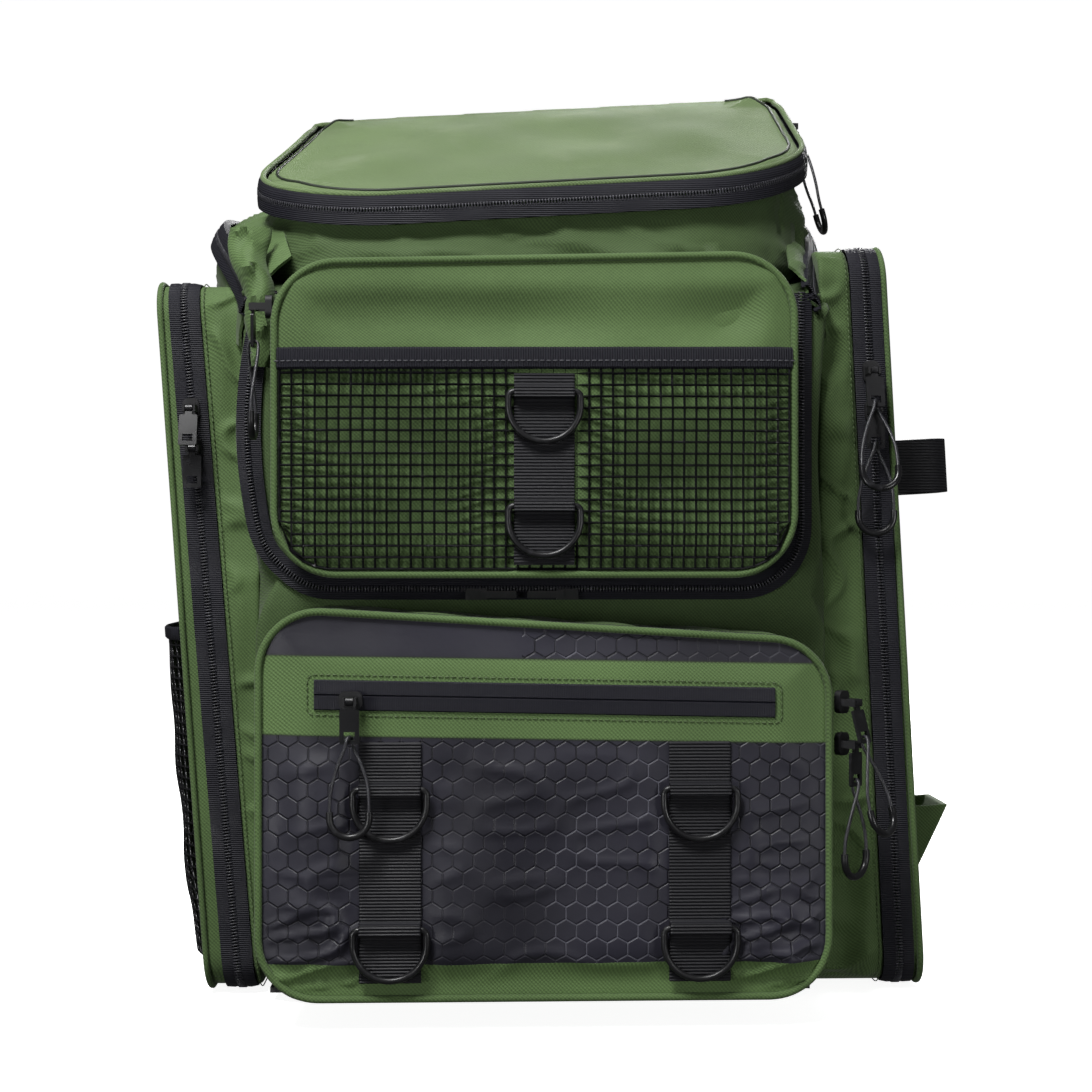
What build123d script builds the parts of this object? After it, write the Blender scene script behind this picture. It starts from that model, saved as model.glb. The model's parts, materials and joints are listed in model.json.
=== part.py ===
from build123d import *
import math
import os

os.makedirs("parts", exist_ok=True)

# A tackle backpack. Millimetres, +Z up, the front faces -Y and +X is the wearer's left hand side
# as seen from the front. The origin is at the middle of the base, on the ground.

# ---- driving dimensions: main body ----
BODY_WIDTH = 312.0
BODY_DEPTH = 180.0
BODY_FRONT_HEIGHT = 385.0      # top of the body at its front edge
BODY_BACK_HEIGHT = 447.0       # top of the body at its back edge
WALL = 5.0                     # padded fabric wall
BOARD = 3.0                    # stiffening board in the base
SEAM = 1.0                     # space between two pieces that a zipper joins
TAPE = 2.0                     # thickness of a zipper tape and its teeth
SHOULDER_FLARE = (-20.0, 10.0)  # how far the shoulders swell past the sides, left and right

HALF = BODY_WIDTH / 2
FRONT = -BODY_DEPTH / 2
BACK = BODY_DEPTH / 2
SLOPE = (BODY_BACK_HEIGHT - BODY_FRONT_HEIGHT) / BODY_DEPTH

# ---- driving dimensions: pockets ----
LOWER_HALF_WIDTH = HALF - 7.0
LOWER_BOTTOM = 17.0
LOWER_TOP = (BODY_FRONT_HEIGHT * 221 / 385, BODY_FRONT_HEIGHT * 203 / 385)   # left and right top corners
LOWER_GUSSET = 44.0
LOWER_RADIUS = 32.0
UPPER_LEFT = -HALF + 13.0
UPPER_RIGHT = HALF - 22.0
UPPER_TOP = (BODY_FRONT_HEIGHT + 17.0, BODY_FRONT_HEIGHT + 23.0)             # left and right top corners
UPPER_GUSSET = 27.0
UPPER_RADIUS = 34.0
FLAP_MARGIN = (7.0, 13.0)      # body left beside the main flap, left and right
MAIN_CLEAR = 8.0               # body shown above the lower pocket, for the main sliders
FLAP_LIP = 7.0                 # main flap shown under the upper pocket
GUSSET_WALL = 3.0
ZIP_HALF = 6.0                 # each side of a front pocket's zipper
LOWER_PANEL = 8.0
UPPER_PANEL = 6.0

# ---- driving dimensions: side pockets ----
SIDE_FRONT = FRONT + 15.0
SIDE_BACK = BACK - 15.0
SIDE_BOTTOM = 4.0
SIDE_TOP = {"left": BODY_FRONT_HEIGHT + 14.0, "right": BODY_FRONT_HEIGHT + 36.0}
SIDE_ZIP = {"left": (-HALF - 12, -HALF - 44), "right": (HALF + 47, HALF + 26)}    # zipper line, bottom and top
SIDE_FACE = {"left": (-HALF - 30, -HALF - 58), "right": (HALF + 60, HALF + 37)}   # outer face, bottom and top
SIDE_ZIP_HALF = 8.0
SIDE_WALL = 2.5

# ---- driving dimensions: cap ----
CAP_HALF_WIDTH = HALF - 2.0
CAP_FRONT = FRONT + 2.0
CAP_CORNER = 70.0
CAP_BACK_HEIGHT = BODY_BACK_HEIGHT + 75.0      # lid's underside at its fold
CAP_FRONT_HEIGHT = BODY_FRONT_HEIGHT + 59.0
CAP_LEAN = 3.4                 # degrees, the right side of the lid is the higher one
CAP_WALL = 4.0
LID = 8.0

# ---- driving dimensions: webbing, rings, sliders and cords ----
WEB = 32.0
WEB_THICK = 1.5
RING_WIRE = 3.4
RING_DROP = 7.0
RING_PLAY = 0.3
RING_SIDE = 1.3                # between the ring's arm and the webbing's edge
STRAP_X = LOWER_HALF_WIDTH - 69.0   # the lower pocket's two straps
SLIDER = (9.0, 12.0, 3.5)      # width, length along the zipper, thickness
SLIDER_LIFT = 1.0
MAIN_SLIDER = 6.0              # width of the main zipper's slimmer sliders
PIN_LIFT = 11.3                # slider pin above the fabric
PIN_RADIUS = 0.8
PIN_PLAY = 0.06
TAB_WIDTH = 10.0
TAB_THICK = 1.6
TAB_CROSSING = -18.0           # where the cord goes through the tab
CORD = 1.8
GRIP_TUBE = 3.7
GRIP_HALF = 10.0
GRIP_LEG = 3.0
GRIP_TOP = -56.0               # the grip's upper ends below the pin
PULL_LEAN = 16.0               # a pull that lies over the slider below it

FLAP_LEFT = -HALF + FLAP_MARGIN[0]
FLAP_RIGHT = HALF - FLAP_MARGIN[1]
FLAP_BOTTOM = max(LOWER_TOP) + MAIN_CLEAR
UPPER_BOTTOM = FLAP_BOTTOM + FLAP_LIP
FLAP_FOLD = BACK - WALL - SEAM
LOWER_FACE = FRONT - LOWER_GUSSET - 2 * ZIP_HALF - SEAM - LOWER_PANEL
UPPER_FACE = FRONT - UPPER_GUSSET - 2 * ZIP_HALF - SEAM - UPPER_PANEL


def block(x0, x1, y0, y1, z0, z1):
    """A box between two corners."""
    return Pos(x0, y0, z0) * Box(x1 - x0, y1 - y0, z1 - z0, align=Align.MIN)


def save(node, *solids):
    """Write one node, whose solids stay apart from each other."""
    flat = [s for shape in solids for s in shape.solids()]
    shape = flat[0] if len(flat) == 1 else Compound(children=flat)
    export_step(shape, f"parts/{node}.step")


def front_slab(sketch, y0, y1):
    """A sketch drawn as seen from the front, made solid between two depths."""
    return extrude(Plane.XZ.offset(-y1) * sketch, amount=y1 - y0)


def pocket_outline(left, right, bottom, tops, radius, inset=0.0):
    """A pocket's rounded front outline, whose left and right edges differ in height."""
    corners = [
        (left + inset, bottom + inset),
        (right - inset, bottom + inset),
        (right - inset, tops[1] - inset),
        (left + inset, tops[0] - inset),
    ]
    face = make_face(Polyline(*corners, close=True))
    return fillet(face.vertices(), radius - inset)


def pocket_ring(outline, wall, y0, y1, inset=0.0):
    """A pocket's outline made into a band of fabric between two depths."""
    outer = front_slab(pocket_outline(*outline, inset=inset), y0, y1)
    inner = front_slab(pocket_outline(*outline, inset=inset + wall), y0 - 1, y1 + 1)
    return outer - inner


def shoulder_height(y):
    """The top of the body at a depth."""
    return BODY_FRONT_HEIGHT + SLOPE * (y - FRONT)


def below_shoulder(shape, lift=0.0, keep=Keep.BOTTOM):
    """Cut a shape along the sloping top of the body, raised by lift."""
    cut = Plane(
        origin=(0, FRONT, BODY_FRONT_HEIGHT + lift),
        x_dir=(1, 0, 0),
        z_dir=(0, -SLOPE, 1),
    )
    return split(shape, bisect_by=cut, keep=keep)


# ---- main body ----
def body_section(inset):
    """The body from the front: straight sides that swell at the shoulders above the side pockets."""
    left, right = SHOULDER_FLARE
    swell_left = SIDE_TOP["left"] + WALL
    swell_right = SIDE_TOP["right"] + WALL
    roof = BODY_BACK_HEIGHT + 2 * WALL
    rise = 20.0
    points = [
        (-HALF + inset, inset),
        (HALF - inset, inset),
        (HALF - inset, swell_right - inset / 2),
        (HALF + right - inset, swell_right + rise - inset / 2),
        (HALF + right - inset, roof),
        (-HALF + left + inset, roof),
        (-HALF + left + inset, swell_left + rise - inset / 2),
        (-HALF + inset, swell_left - inset / 2),
    ]
    return make_face(Polyline(*points, close=True))


def main_shell():
    outer = front_slab(body_section(0), FRONT, BACK)
    inner = front_slab(body_section(WALL), FRONT + WALL, BACK - WALL)
    shell = below_shoulder(outer - inner)
    doorway = block(
        FLAP_LEFT - SEAM, FLAP_RIGHT + SEAM, FRONT - 1, FRONT + WALL + 1, FLAP_BOTTOM - SEAM, 600
    )
    return shell - doorway


def flap_panel():
    """The main flap: the front panel, and the roof that folds at the back."""
    front = block(
        FLAP_LEFT, FLAP_RIGHT, FRONT, FRONT + WALL, FLAP_BOTTOM, shoulder_height(FRONT) + WALL
    )
    left, right = SHOULDER_FLARE
    plan = [
        (-HALF, FRONT),
        (HALF, FRONT),
        (HALF, FRONT + 0.64 * BODY_DEPTH),
        (HALF + right, FRONT + 0.76 * BODY_DEPTH),
        (HALF + right, FLAP_FOLD),
        (-HALF + left, FLAP_FOLD),
        (-HALF + left, FRONT + 0.56 * BODY_DEPTH),
        (-HALF, FRONT + 0.31 * BODY_DEPTH),
    ]
    roof = extrude(make_face(Polyline(*plan, close=True)), amount=700)
    roof = below_shoulder(below_shoulder(roof, SEAM, Keep.TOP), SEAM + WALL, Keep.BOTTOM)
    return front + roof


LOWER = (-LOWER_HALF_WIDTH, LOWER_HALF_WIDTH, LOWER_BOTTOM, LOWER_TOP, LOWER_RADIUS)
UPPER = (UPPER_LEFT, UPPER_RIGHT, UPPER_BOTTOM, UPPER_TOP, UPPER_RADIUS)


def front_pocket(outline, gusset, panel):
    """A front pocket's gusset, its two halves of zipper tape and its cover."""
    mouth = FRONT - gusset
    gusset_band = pocket_ring(outline, GUSSET_WALL, mouth, FRONT)
    inner_tape = pocket_ring(outline, TAPE, mouth - ZIP_HALF, mouth, 0.5)
    cover_back = mouth - ZIP_HALF - SEAM - ZIP_HALF
    outer_tape = pocket_ring(outline, TAPE, cover_back, cover_back + ZIP_HALF, 0.5)
    cover = front_slab(pocket_outline(*outline), cover_back - panel, cover_back)
    return gusset_band, inner_tape, outer_tape, cover


# ---- side pockets ----
def on_side(line, side, z):
    """The x of one of a side pocket's leaning lines at a height."""
    low, high = line[side]
    return low + (high - low) * (z - SIDE_BOTTOM) / (SIDE_TOP[side] - SIDE_BOTTOM)


def leaning(side, inner, outer, y0, y1, z0, z1):
    """A solid between two leaning lines: each is a line's name and how far outward it is moved."""
    out = 1 if side == "right" else -1
    points = [
        (on_side(line, side, z) + out * shift, z)
        for (line, shift), z in ((inner, z0), (outer, z0), (outer, z1), (inner, z1))
    ]
    return front_slab(make_face(Polyline(*points, close=True)), y0, y1)


def side_pocket(side):
    """A side pocket's tray, its two halves of zipper tape and its cover."""
    top = SIDE_TOP[side]
    body_line = {side: (HALF + 0.5, HALF + 0.5) if side == "right" else (-HALF - 0.5, -HALF - 0.5)}
    out = (SIDE_FRONT, SIDE_BACK, SIDE_BOTTOM, top)
    trim = (SIDE_FRONT + SIDE_WALL, SIDE_BACK - SIDE_WALL, SIDE_BOTTOM + SIDE_WALL, top - SIDE_WALL)
    thin = (SIDE_FRONT + TAPE, SIDE_BACK - TAPE, SIDE_BOTTOM + TAPE, top - TAPE)
    edge = SIDE_ZIP_HALF + SEAM / 2
    tray = leaning(side, (body_line, 0), (SIDE_ZIP, -edge), *out)
    tray -= leaning(side, (body_line, SIDE_WALL), (SIDE_ZIP, 0), *trim)
    inner_tape = leaning(side, (SIDE_ZIP, -edge), (SIDE_ZIP, -SEAM / 2), *out)
    inner_tape -= leaning(side, (SIDE_ZIP, -2 * edge), (SIDE_ZIP, edge), *thin)
    outer_tape = leaning(side, (SIDE_ZIP, SEAM / 2), (SIDE_ZIP, edge), *out)
    outer_tape -= leaning(side, (SIDE_ZIP, -edge), (SIDE_ZIP, 2 * edge), *thin)
    cover = leaning(side, (SIDE_ZIP, edge), (SIDE_FACE, 0), *out)
    return tray, inner_tape, outer_tape, cover


def face_frame(side, z):
    """A place on a side pocket's outer face, whose local X points out and Z up the face."""
    low, high = SIDE_FACE[side]
    lean = math.degrees(math.atan2(high - low, SIDE_TOP[side] - SIDE_BOTTOM))
    turn = 0 if side == "right" else 180
    return Pos(on_side(SIDE_FACE, side, z), 0, z) * Rot(0, lean, 0) * Rot(0, 0, turn)


MESH_POCKET = (18.0, 206.0, 62.0, 14.0)    # lowest and highest edge, half width, bulge
ROD_STRAP = (298.0, 46.0, 22.0)            # height, reach, half width
ROD_POCKET = (37.0, 60.0, 33.0, 22.0)      # lowest point, height, reach, half width


def left_mesh_pocket():
    low, high, half, bulge = MESH_POCKET
    skin = 2.0
    outer = block(0, bulge, -half, half, 0, high)
    inner = block(-1, bulge - skin, -half + skin, half - skin, skin, high + 1)
    return face_frame("left", low) * (outer - inner)


def rod_strap():
    z, reach, half = ROD_STRAP
    turn = 14.0
    outer = fillet(make_face(Polyline(
        (0, -half), (reach, -half), (reach, half), (0, half), close=True
    )).vertices().group_by(Axis.X)[-1], turn)
    inner = fillet(make_face(Polyline(
        (-1, -half + WEB_THICK), (reach - WEB_THICK, -half + WEB_THICK),
        (reach - WEB_THICK, half - WEB_THICK), (-1, half - WEB_THICK), close=True
    )).vertices().group_by(Axis.X)[-1], turn - WEB_THICK)
    band = extrude(outer - inner, amount=WEB)
    return face_frame("right", z) * Pos(0, 0, -WEB / 2) * band


def rod_pocket():
    low, height, reach, half = ROD_POCKET
    skin = 2.0
    outer = front_slab(make_face(Polyline((0, 0), (reach, height), (0, height), close=True)), -half, half)
    wedge = [(-1, 3 * skin), (0, 3 * skin), (reach - 1.5 * skin, height + 1), (-1, height + 1)]
    inner = front_slab(make_face(Polyline(*wedge, close=True)), -half + skin, half - skin)
    return face_frame("right", low) * (outer - inner)


# ---- cap ----
def cap_outline(inset=0.0):
    half, front = CAP_HALF_WIDTH - inset, CAP_FRONT + inset
    corners = [(-half, FLAP_FOLD - inset), (-half, front), (half, front), (half, FLAP_FOLD - inset)]
    face = make_face(Polyline(*corners, close=True))
    return fillet(face.vertices().group_by(Axis.Y)[0], CAP_CORNER - inset)


CAP_SLOPE = (CAP_BACK_HEIGHT - CAP_FRONT_HEIGHT) / (FLAP_FOLD - CAP_FRONT)
CAP_RISE = math.tan(math.radians(CAP_LEAN))


def cap_height(x, y):
    """The lid's underside over a place in plan."""
    return CAP_BACK_HEIGHT + CAP_SLOPE * (y - FLAP_FOLD) + CAP_RISE * x


def cut_cap(shape, lift, keep):
    """Cut a shape along the lid's underside, raised by lift."""
    cut = Plane(
        origin=(0, FLAP_FOLD, CAP_BACK_HEIGHT + lift),
        x_dir=(1, 0, CAP_RISE),
        z_dir=(-CAP_RISE, -CAP_SLOPE, 1),
    )
    return split(shape, bisect_by=cut, keep=keep)


def cap_tray():
    floor = SEAM + WALL
    outer = below_shoulder(extrude(cap_outline(), amount=700), floor, Keep.TOP)
    inner = below_shoulder(extrude(cap_outline(CAP_WALL), amount=700), floor + CAP_WALL, Keep.TOP)
    return cut_cap(outer - inner, -SEAM, Keep.BOTTOM)


def cap_lid():
    return cut_cap(cut_cap(extrude(cap_outline(), amount=700), 0, Keep.TOP), LID, Keep.BOTTOM)


# ---- webbing and D-rings ----
RING_ARM = WEB / 2 + RING_SIDE + RING_WIRE / 2
RING_LIFT = WEB_THICK + 1.1 + RING_WIRE / 2
SLEEVE = RING_WIRE / 2 + RING_PLAY + 1.0
UPPER_RINGS = (UPPER_BOTTOM + 97.0, UPPER_BOTTOM + 37.0)
STRAP_TOP = LOWER_TOP[1] - 52.0
LOWER_RINGS = (STRAP_TOP - 24.0, LOWER_BOTTOM + 38.0)


def d_ring(x, face, z):
    """A D-ring that hangs from its straight bar, in front of a face."""
    a, r = RING_ARM, RING_SIDE + RING_WIRE / 2
    top = FilletPolyline((-a, 0, -RING_DROP), (-a, 0, 0), (a, 0, 0), (a, 0, -RING_DROP), radius=r)
    arc = ThreePointArc((a, 0, -RING_DROP), (0, 0, -RING_DROP - a), (-a, 0, -RING_DROP))
    bar = sweep(Plane((-a, 0, -RING_DROP), z_dir=(0, 0, 1)) * Circle(RING_WIRE / 2), path=top)
    bow = sweep(Plane((a, 0, -RING_DROP), z_dir=(0, 0, -1)) * Circle(RING_WIRE / 2), path=arc)
    return Pos(x, face - RING_LIFT, z) * (bar + bow)


def webbing(x, face, low, high, rings):
    """A strap on a pocket's cover with a folded sleeve for each ring."""
    strap = block(x - WEB / 2, x + WEB / 2, face - WEB_THICK, face, low, high)
    for z in rings:
        sleeve = block(
            x - WEB / 2, x + WEB / 2, face - RING_LIFT - SLEEVE, face - WEB_THICK, z - SLEEVE, z + SLEEVE
        )
        strap += sleeve
        hole = Cylinder(RING_WIRE / 2 + RING_PLAY, WEB + 2, rotation=(0, 90, 0))
        strap -= Pos(x, face - RING_LIFT, z) * hole
    return strap


# ---- sliders, pull tabs and their cords ----
EAR_IN, EAR_OUT, EAR_RADIUS = 2.3, 3.6, 1.9
EYE_RADIUS = 2.2


def slider(roll=0.0, lift=PIN_LIFT):
    """A slider on a face at y 0 that faces -Y, its pin along X. Roll turns its length off Z."""
    width, length, thick = SLIDER
    base = Box(width, thick, length)
    base = fillet(base.edges().filter_by(Axis.Y), 3.0)
    base = Pos(0, -SLIDER_LIFT - thick / 2, 0) * Rot(0, roll, 0) * base
    root = -SLIDER_LIFT - thick / 2
    for s in (-1, 1):
        x0, x1 = sorted((s * EAR_IN, s * EAR_OUT))
        base += block(x0, x1, -lift - EAR_RADIUS, root, -EAR_RADIUS, EAR_RADIUS)
    pin = Cylinder(PIN_RADIUS, 2 * EAR_OUT, rotation=(0, 90, 0))
    return base + Pos(0, -lift, 0) * pin


def tab():
    """A pull tab that hangs from a pin at the origin, with a slot for its cord."""
    bar = TAB_CROSSING - 2.57
    neck = block(-EAR_IN + 0.4, EAR_IN - 0.4, -TAB_THICK / 2, TAB_THICK / 2, -5.0, -1.2)
    plate = block(-TAB_WIDTH / 2, TAB_WIDTH / 2, -TAB_THICK / 2, TAB_THICK / 2, bar - 1.1, -4.0)
    plate = fillet(plate.edges().filter_by(Axis.Y), 1.0)
    eye = Cylinder(EYE_RADIUS, 2 * (EAR_IN - 0.4), rotation=(0, 90, 0))
    hole = Cylinder(PIN_RADIUS + PIN_PLAY, 2 * EAR_IN, rotation=(0, 90, 0))
    slot = block(-2.8, 2.8, -2, 2, bar + 1.1, bar + 5.2)
    return plate + neck + eye - hole - slot


def grip():
    """The U-shaped grip that the cord runs through, its legs up."""
    g, top = GRIP_HALF, GRIP_TOP
    left = Line((-g, 0, top), (-g, 0, top - GRIP_LEG))
    bow = ThreePointArc((-g, 0, top - GRIP_LEG), (0, 0, top - GRIP_LEG - g), (g, 0, top - GRIP_LEG))
    right = Line((g, 0, top - GRIP_LEG), (g, 0, top))
    path = Wire([left, bow, right])
    return sweep(Plane((-g, 0, top), z_dir=(0, 0, -1)) * Circle(GRIP_TUBE / 2), path=path)


# The pull cord's route, as offsets from the tab's pin: up from one leg of the grip, in front of
# the tab, through its slot and down behind it to the other leg.
CORD_ROUTE = [
    (-10.0, 0.0, -56.0),
    (-10.0, 0.0, -50.0),
    (-8.2, -1.6, -40.0),
    (-4.6, -2.6, -29.0),
    (-1.8, -3.0, -23.0),
    (-1.0, -2.6, -18.0),
    (1.0, 2.6, -18.0),
    (1.6, 3.0, -23.5),
    (5.0, 2.4, -30.0),
    (9.0, 1.4, -40.5),
    (10.0, 0.0, -50.0),
    (10.0, 0.0, -56.0),
]


def tube_along(points, diameter):
    """A tube along straight runs, joined by the largest arcs that their lengths allow."""
    points = [Vector(*p) for p in points]
    runs = [b - a for a, b in zip(points, points[1:])]
    radii = []
    for before, after in zip(runs, runs[1:]):
        half_turn = math.radians(before.get_angle(after)) / 2
        radii.append(0.45 * min(before.length, after.length) / math.tan(half_turn))
    path = FilletPolyline(*points, radius=radii)
    tube = sweep(Plane(points[0], z_dir=runs[0]) * Circle(diameter / 2), path=Wire(path.edges()))
    section = math.pi * diameter**2 / 4
    print("cord", round(path.length, 1), "mm, volume over section and length",
          round(tube.volume / (section * path.length), 3),
          "radii", [round(r, 1) for r in radii])
    return tube


def zip_pair(name, place, turn, lean=0.0, roll=0.0, cord=True):
    """One slider with its tab and, where it has one, its corded grip, at a place on a face."""
    on_face = Pos(*place) * Rot(0, 0, turn)
    save(f"slider_{name}", on_face * slider(roll))
    hang = on_face * Pos(0, -PIN_LIFT, 0) * Rot(-lean, 0, 0)
    if cord:
        save(f"pull_{name}", hang * tab(), hang * grip())
        save(f"cord_{name}", hang * tube_along(CORD_ROUTE, CORD))
    else:
        save(f"pull_{name}", hang * tab())


def main_slider(x, way):
    """A main zipper slider, whose tab lies flat along the zipper between the two pockets."""
    length, thick = SLIDER[1:]
    z = FLAP_BOTTOM - SEAM / 2
    y = FRONT - TAPE - SLIDER_LIFT
    body = block(x - length / 2, x + length / 2, y - thick, y, z - MAIN_SLIDER, z)
    start, end = sorted((x + way * 2, x + way * 22))
    flat = block(start, end, y - thick - TAB_THICK, y - thick, z - MAIN_SLIDER + 1, z - 1)
    return body, flat


# ---- back: pad, shoulder straps, handle ----
PAD = (HALF - 31.0, 68.0, BODY_BACK_HEIGHT - 52.0, 14.0)   # half width, lowest, highest, thickness
HARNESS_X = 74.0
HARNESS_WIDTH = 62.0
HARNESS_THICK = 14.0
LADDER = (34.0, 30.0, 5.0)                 # adjuster: width, height, thickness


def back_pad():
    half, low, high, thick = PAD
    outline = pocket_outline(-half, half, low, (high, high), 30.0)
    return front_slab(outline, BACK, BACK + thick)


def harness_route(offset):
    """The shoulder strap's line seen from the side, moved outward by an offset."""
    y = BACK + PAD[3]
    return [
        (y + 0.5, PAD[2] - 3.0),
        (y + 30.0 + offset, PAD[2] - 11.0),
        (y + 48.0 + offset, PAD[2] - 65.0),
        (y + 46.0 + offset, 240.0),
        (y + 28.0 + offset, 165.0),
    ]


def shoulder_strap(side):
    """A padded strap that stands off the back in one long curve."""
    outer = Spline(*harness_route(HARNESS_THICK))
    inner = Spline(*[(y, z - 14.0 * (i == 0)) for i, (y, z) in enumerate(harness_route(0))])
    ends = [Line(inner @ 0, outer @ 0), Line(outer @ 1, inner @ 1)]
    section = Plane.YZ * make_face([outer, inner, *ends])
    x = side * HARNESS_X
    return Pos(x - HARNESS_WIDTH / 2, 0, 0) * extrude(section, amount=HARNESS_WIDTH)


def strap_place():
    """Where the webbing starts, at the lower end of the shoulder strap."""
    y, z = harness_route(HARNESS_THICK / 2)[-1]
    return y, z


def strap_webbing(side):
    """The webbing from the adjuster down to the bottom corner of the back."""
    y, z = strap_place()
    width, height, thick = LADDER
    points = [(BACK, 21.0), (y + 1.0, z - height), (y - 1.0, z - height), (BACK, 27.0)]
    section = Plane.YZ * make_face(Polyline(*points, close=True))
    x = side * HARNESS_X
    return Pos(x - WEB / 2 + 3, 0, 0) * extrude(section, amount=WEB - 6)


def strap_adjuster(side):
    """A two-slot ladder adjuster between the strap and its webbing."""
    y, z = strap_place()
    width, height, thick = LADDER
    x = side * HARNESS_X
    frame = block(x - width / 2, x + width / 2, y - thick / 2, y + thick / 2, z - height, z)
    for low in (4.0, 17.0):
        frame -= block(x - width / 2 + 3, x + width / 2 - 3, y - thick, y + thick,
                       z - height + low, z - height + low + 9.0)
    return frame


HANDLE = (58.0, 26.0, BODY_BACK_HEIGHT - 29.0, 26.0)   # half length, reach, middle height, webbing width


def haul_handle():
    half, reach, z, width = HANDLE
    thick = 3.0
    outer = [(-half, BACK), (-half + 16, BACK + reach), (half - 16, BACK + reach), (half, BACK)]
    inner = [(-half + 8, BACK), (-half + 18, BACK + reach - thick),
             (half - 18, BACK + reach - thick), (half - 8, BACK)]
    band = make_face(Polyline(*outer, close=True)) - make_face(Polyline(*inner, close=True))
    return Pos(0, 0, z - width / 2) * extrude(band, amount=width)


# ---- write every node ----
save("main_shell", main_shell())
save("base_board", block(-HALF + WALL + 1, HALF - WALL - 1, FRONT + WALL + 1, BACK - WALL - 1, WALL, WALL + BOARD))
save("back_pad", back_pad())
save("shoulder_straps", shoulder_strap(-1), shoulder_strap(1))
save("strap_webbing", strap_webbing(-1), strap_webbing(1))
save("strap_adjusters", strap_adjuster(-1), strap_adjuster(1))
save("haul_handle", haul_handle())
save("flap_panel", flap_panel())
save("cap_tray", cap_tray())
save("cap_lid", cap_lid())

lower_gusset, lower_inner_tape, lower_outer_tape, lower_cover = front_pocket(LOWER, LOWER_GUSSET, LOWER_PANEL)
upper_gusset, upper_inner_tape, upper_outer_tape, upper_cover = front_pocket(UPPER, UPPER_GUSSET, UPPER_PANEL)
save("lower_pocket_gusset", lower_gusset)
save("upper_pocket_gusset", upper_gusset)
save("upper_cover", upper_cover, upper_outer_tape)

WELT_HALF = LOWER_HALF_WIDTH - 30.0
WELT = (-WELT_HALF, WELT_HALF, LOWER_TOP[1] - 39.0, LOWER_TOP[1] - 21.0, 1.2)   # and its height above the cover
welt_left, welt_right, welt_bottom, welt_top, welt_proud = WELT
welt = block(welt_left, welt_right, LOWER_FACE - welt_proud, LOWER_FACE, welt_bottom, welt_top)
save("lower_cover", lower_cover, lower_outer_tape)
save("welt_zipper", welt)

side_tapes = []
for side in ("left", "right"):
    tray, inner_tape, outer_tape, cover = side_pocket(side)
    side_tapes.append(inner_tape)
    save(f"{side}_pocket_tray", tray)
    save(f"{side}_cover", cover, outer_tape)
save("left_mesh_pocket", left_mesh_pocket())
save("rod_strap", rod_strap())
save("rod_pocket", rod_pocket())


def main_tape(left, right, bottom, y0, y1, strip):
    """A strip of tape up both sides and along the bottom of the main flap's doorway."""
    top = BODY_FRONT_HEIGHT - 2
    whole = block(left, right, y0, y1, bottom, top)
    return whole - block(left + strip, right - strip, y0 - 1, y1 + 1, bottom + strip, top + 1)


MAIN_STRIP = 4.5
flap_tape = main_tape(FLAP_LEFT, FLAP_RIGHT, FLAP_BOTTOM, FRONT - TAPE, FRONT, MAIN_STRIP)
flap_tape -= front_slab(pocket_outline(*UPPER), FRONT - TAPE - 1, FRONT + 1)
body_tape = main_tape(
    FLAP_LEFT - SEAM - MAIN_STRIP, FLAP_RIGHT + SEAM + MAIN_STRIP, FLAP_BOTTOM - SEAM - MAIN_STRIP,
    FRONT - TAPE, FRONT, MAIN_STRIP,
)
body_tape -= front_slab(pocket_outline(*LOWER), FRONT - TAPE - 1, FRONT + 1)
save("flap_zip_tapes", flap_tape, upper_inner_tape)
save("pack_zip_tapes", body_tape, lower_inner_tape, *side_tapes)

# The mesh is a thin flat skin over the lower part of the upper cover.
MESH_TOP = UPPER_BOTTOM + 110.0
MESH_THICK = 1.2
mesh = front_slab(pocket_outline(*UPPER, inset=6.0), UPPER_FACE - MESH_THICK, UPPER_FACE)
save("upper_mesh", mesh - block(-300, 300, -300, 0, MESH_TOP, 600)
     - block(-WEB / 2 - 0.5, WEB / 2 + 0.5, -300, 0, 0, 600))
save("upper_webbing", webbing(0, UPPER_FACE, UPPER_BOTTOM + 6, UPPER_BOTTOM + 107, UPPER_RINGS))
save("lower_webbing", *[
    webbing(x, LOWER_FACE, LOWER_BOTTOM + 10, STRAP_TOP, LOWER_RINGS) for x in (-STRAP_X, STRAP_X)
])

for name, z in zip(("upper_ring_high", "upper_ring_low"), UPPER_RINGS):
    save(name, d_ring(0, UPPER_FACE, z))
for side, x in (("left", -STRAP_X), ("right", STRAP_X)):
    for level, z in zip(("high", "low"), LOWER_RINGS):
        save(f"lower_ring_{side}_{level}", d_ring(x, LOWER_FACE, z))

# ---- sliders, each on its own zipper ----
UPPER_MOUTH = FRONT - UPPER_GUSSET - ZIP_HALF
LOWER_MOUTH = FRONT - LOWER_GUSSET - ZIP_HALF
RIGHT_SLIDERS = (SIDE_TOP["right"] - 71.0, SIDE_TOP["right"] - 93.0)
LEFT_SLIDERS = (SIDE_TOP["left"] - 71.0, SIDE_TOP["left"] - 93.0)
LOWER_SLIDERS = (LOWER_TOP[1] - 33.0, LOWER_TOP[1] - 55.0)
UPPER_SLIDER = UPPER_TOP[0] - 23.0
WELT_SLIDER = welt_left + 19.0
CAP_SLIDER = FLAP_FOLD - 28.0

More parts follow.
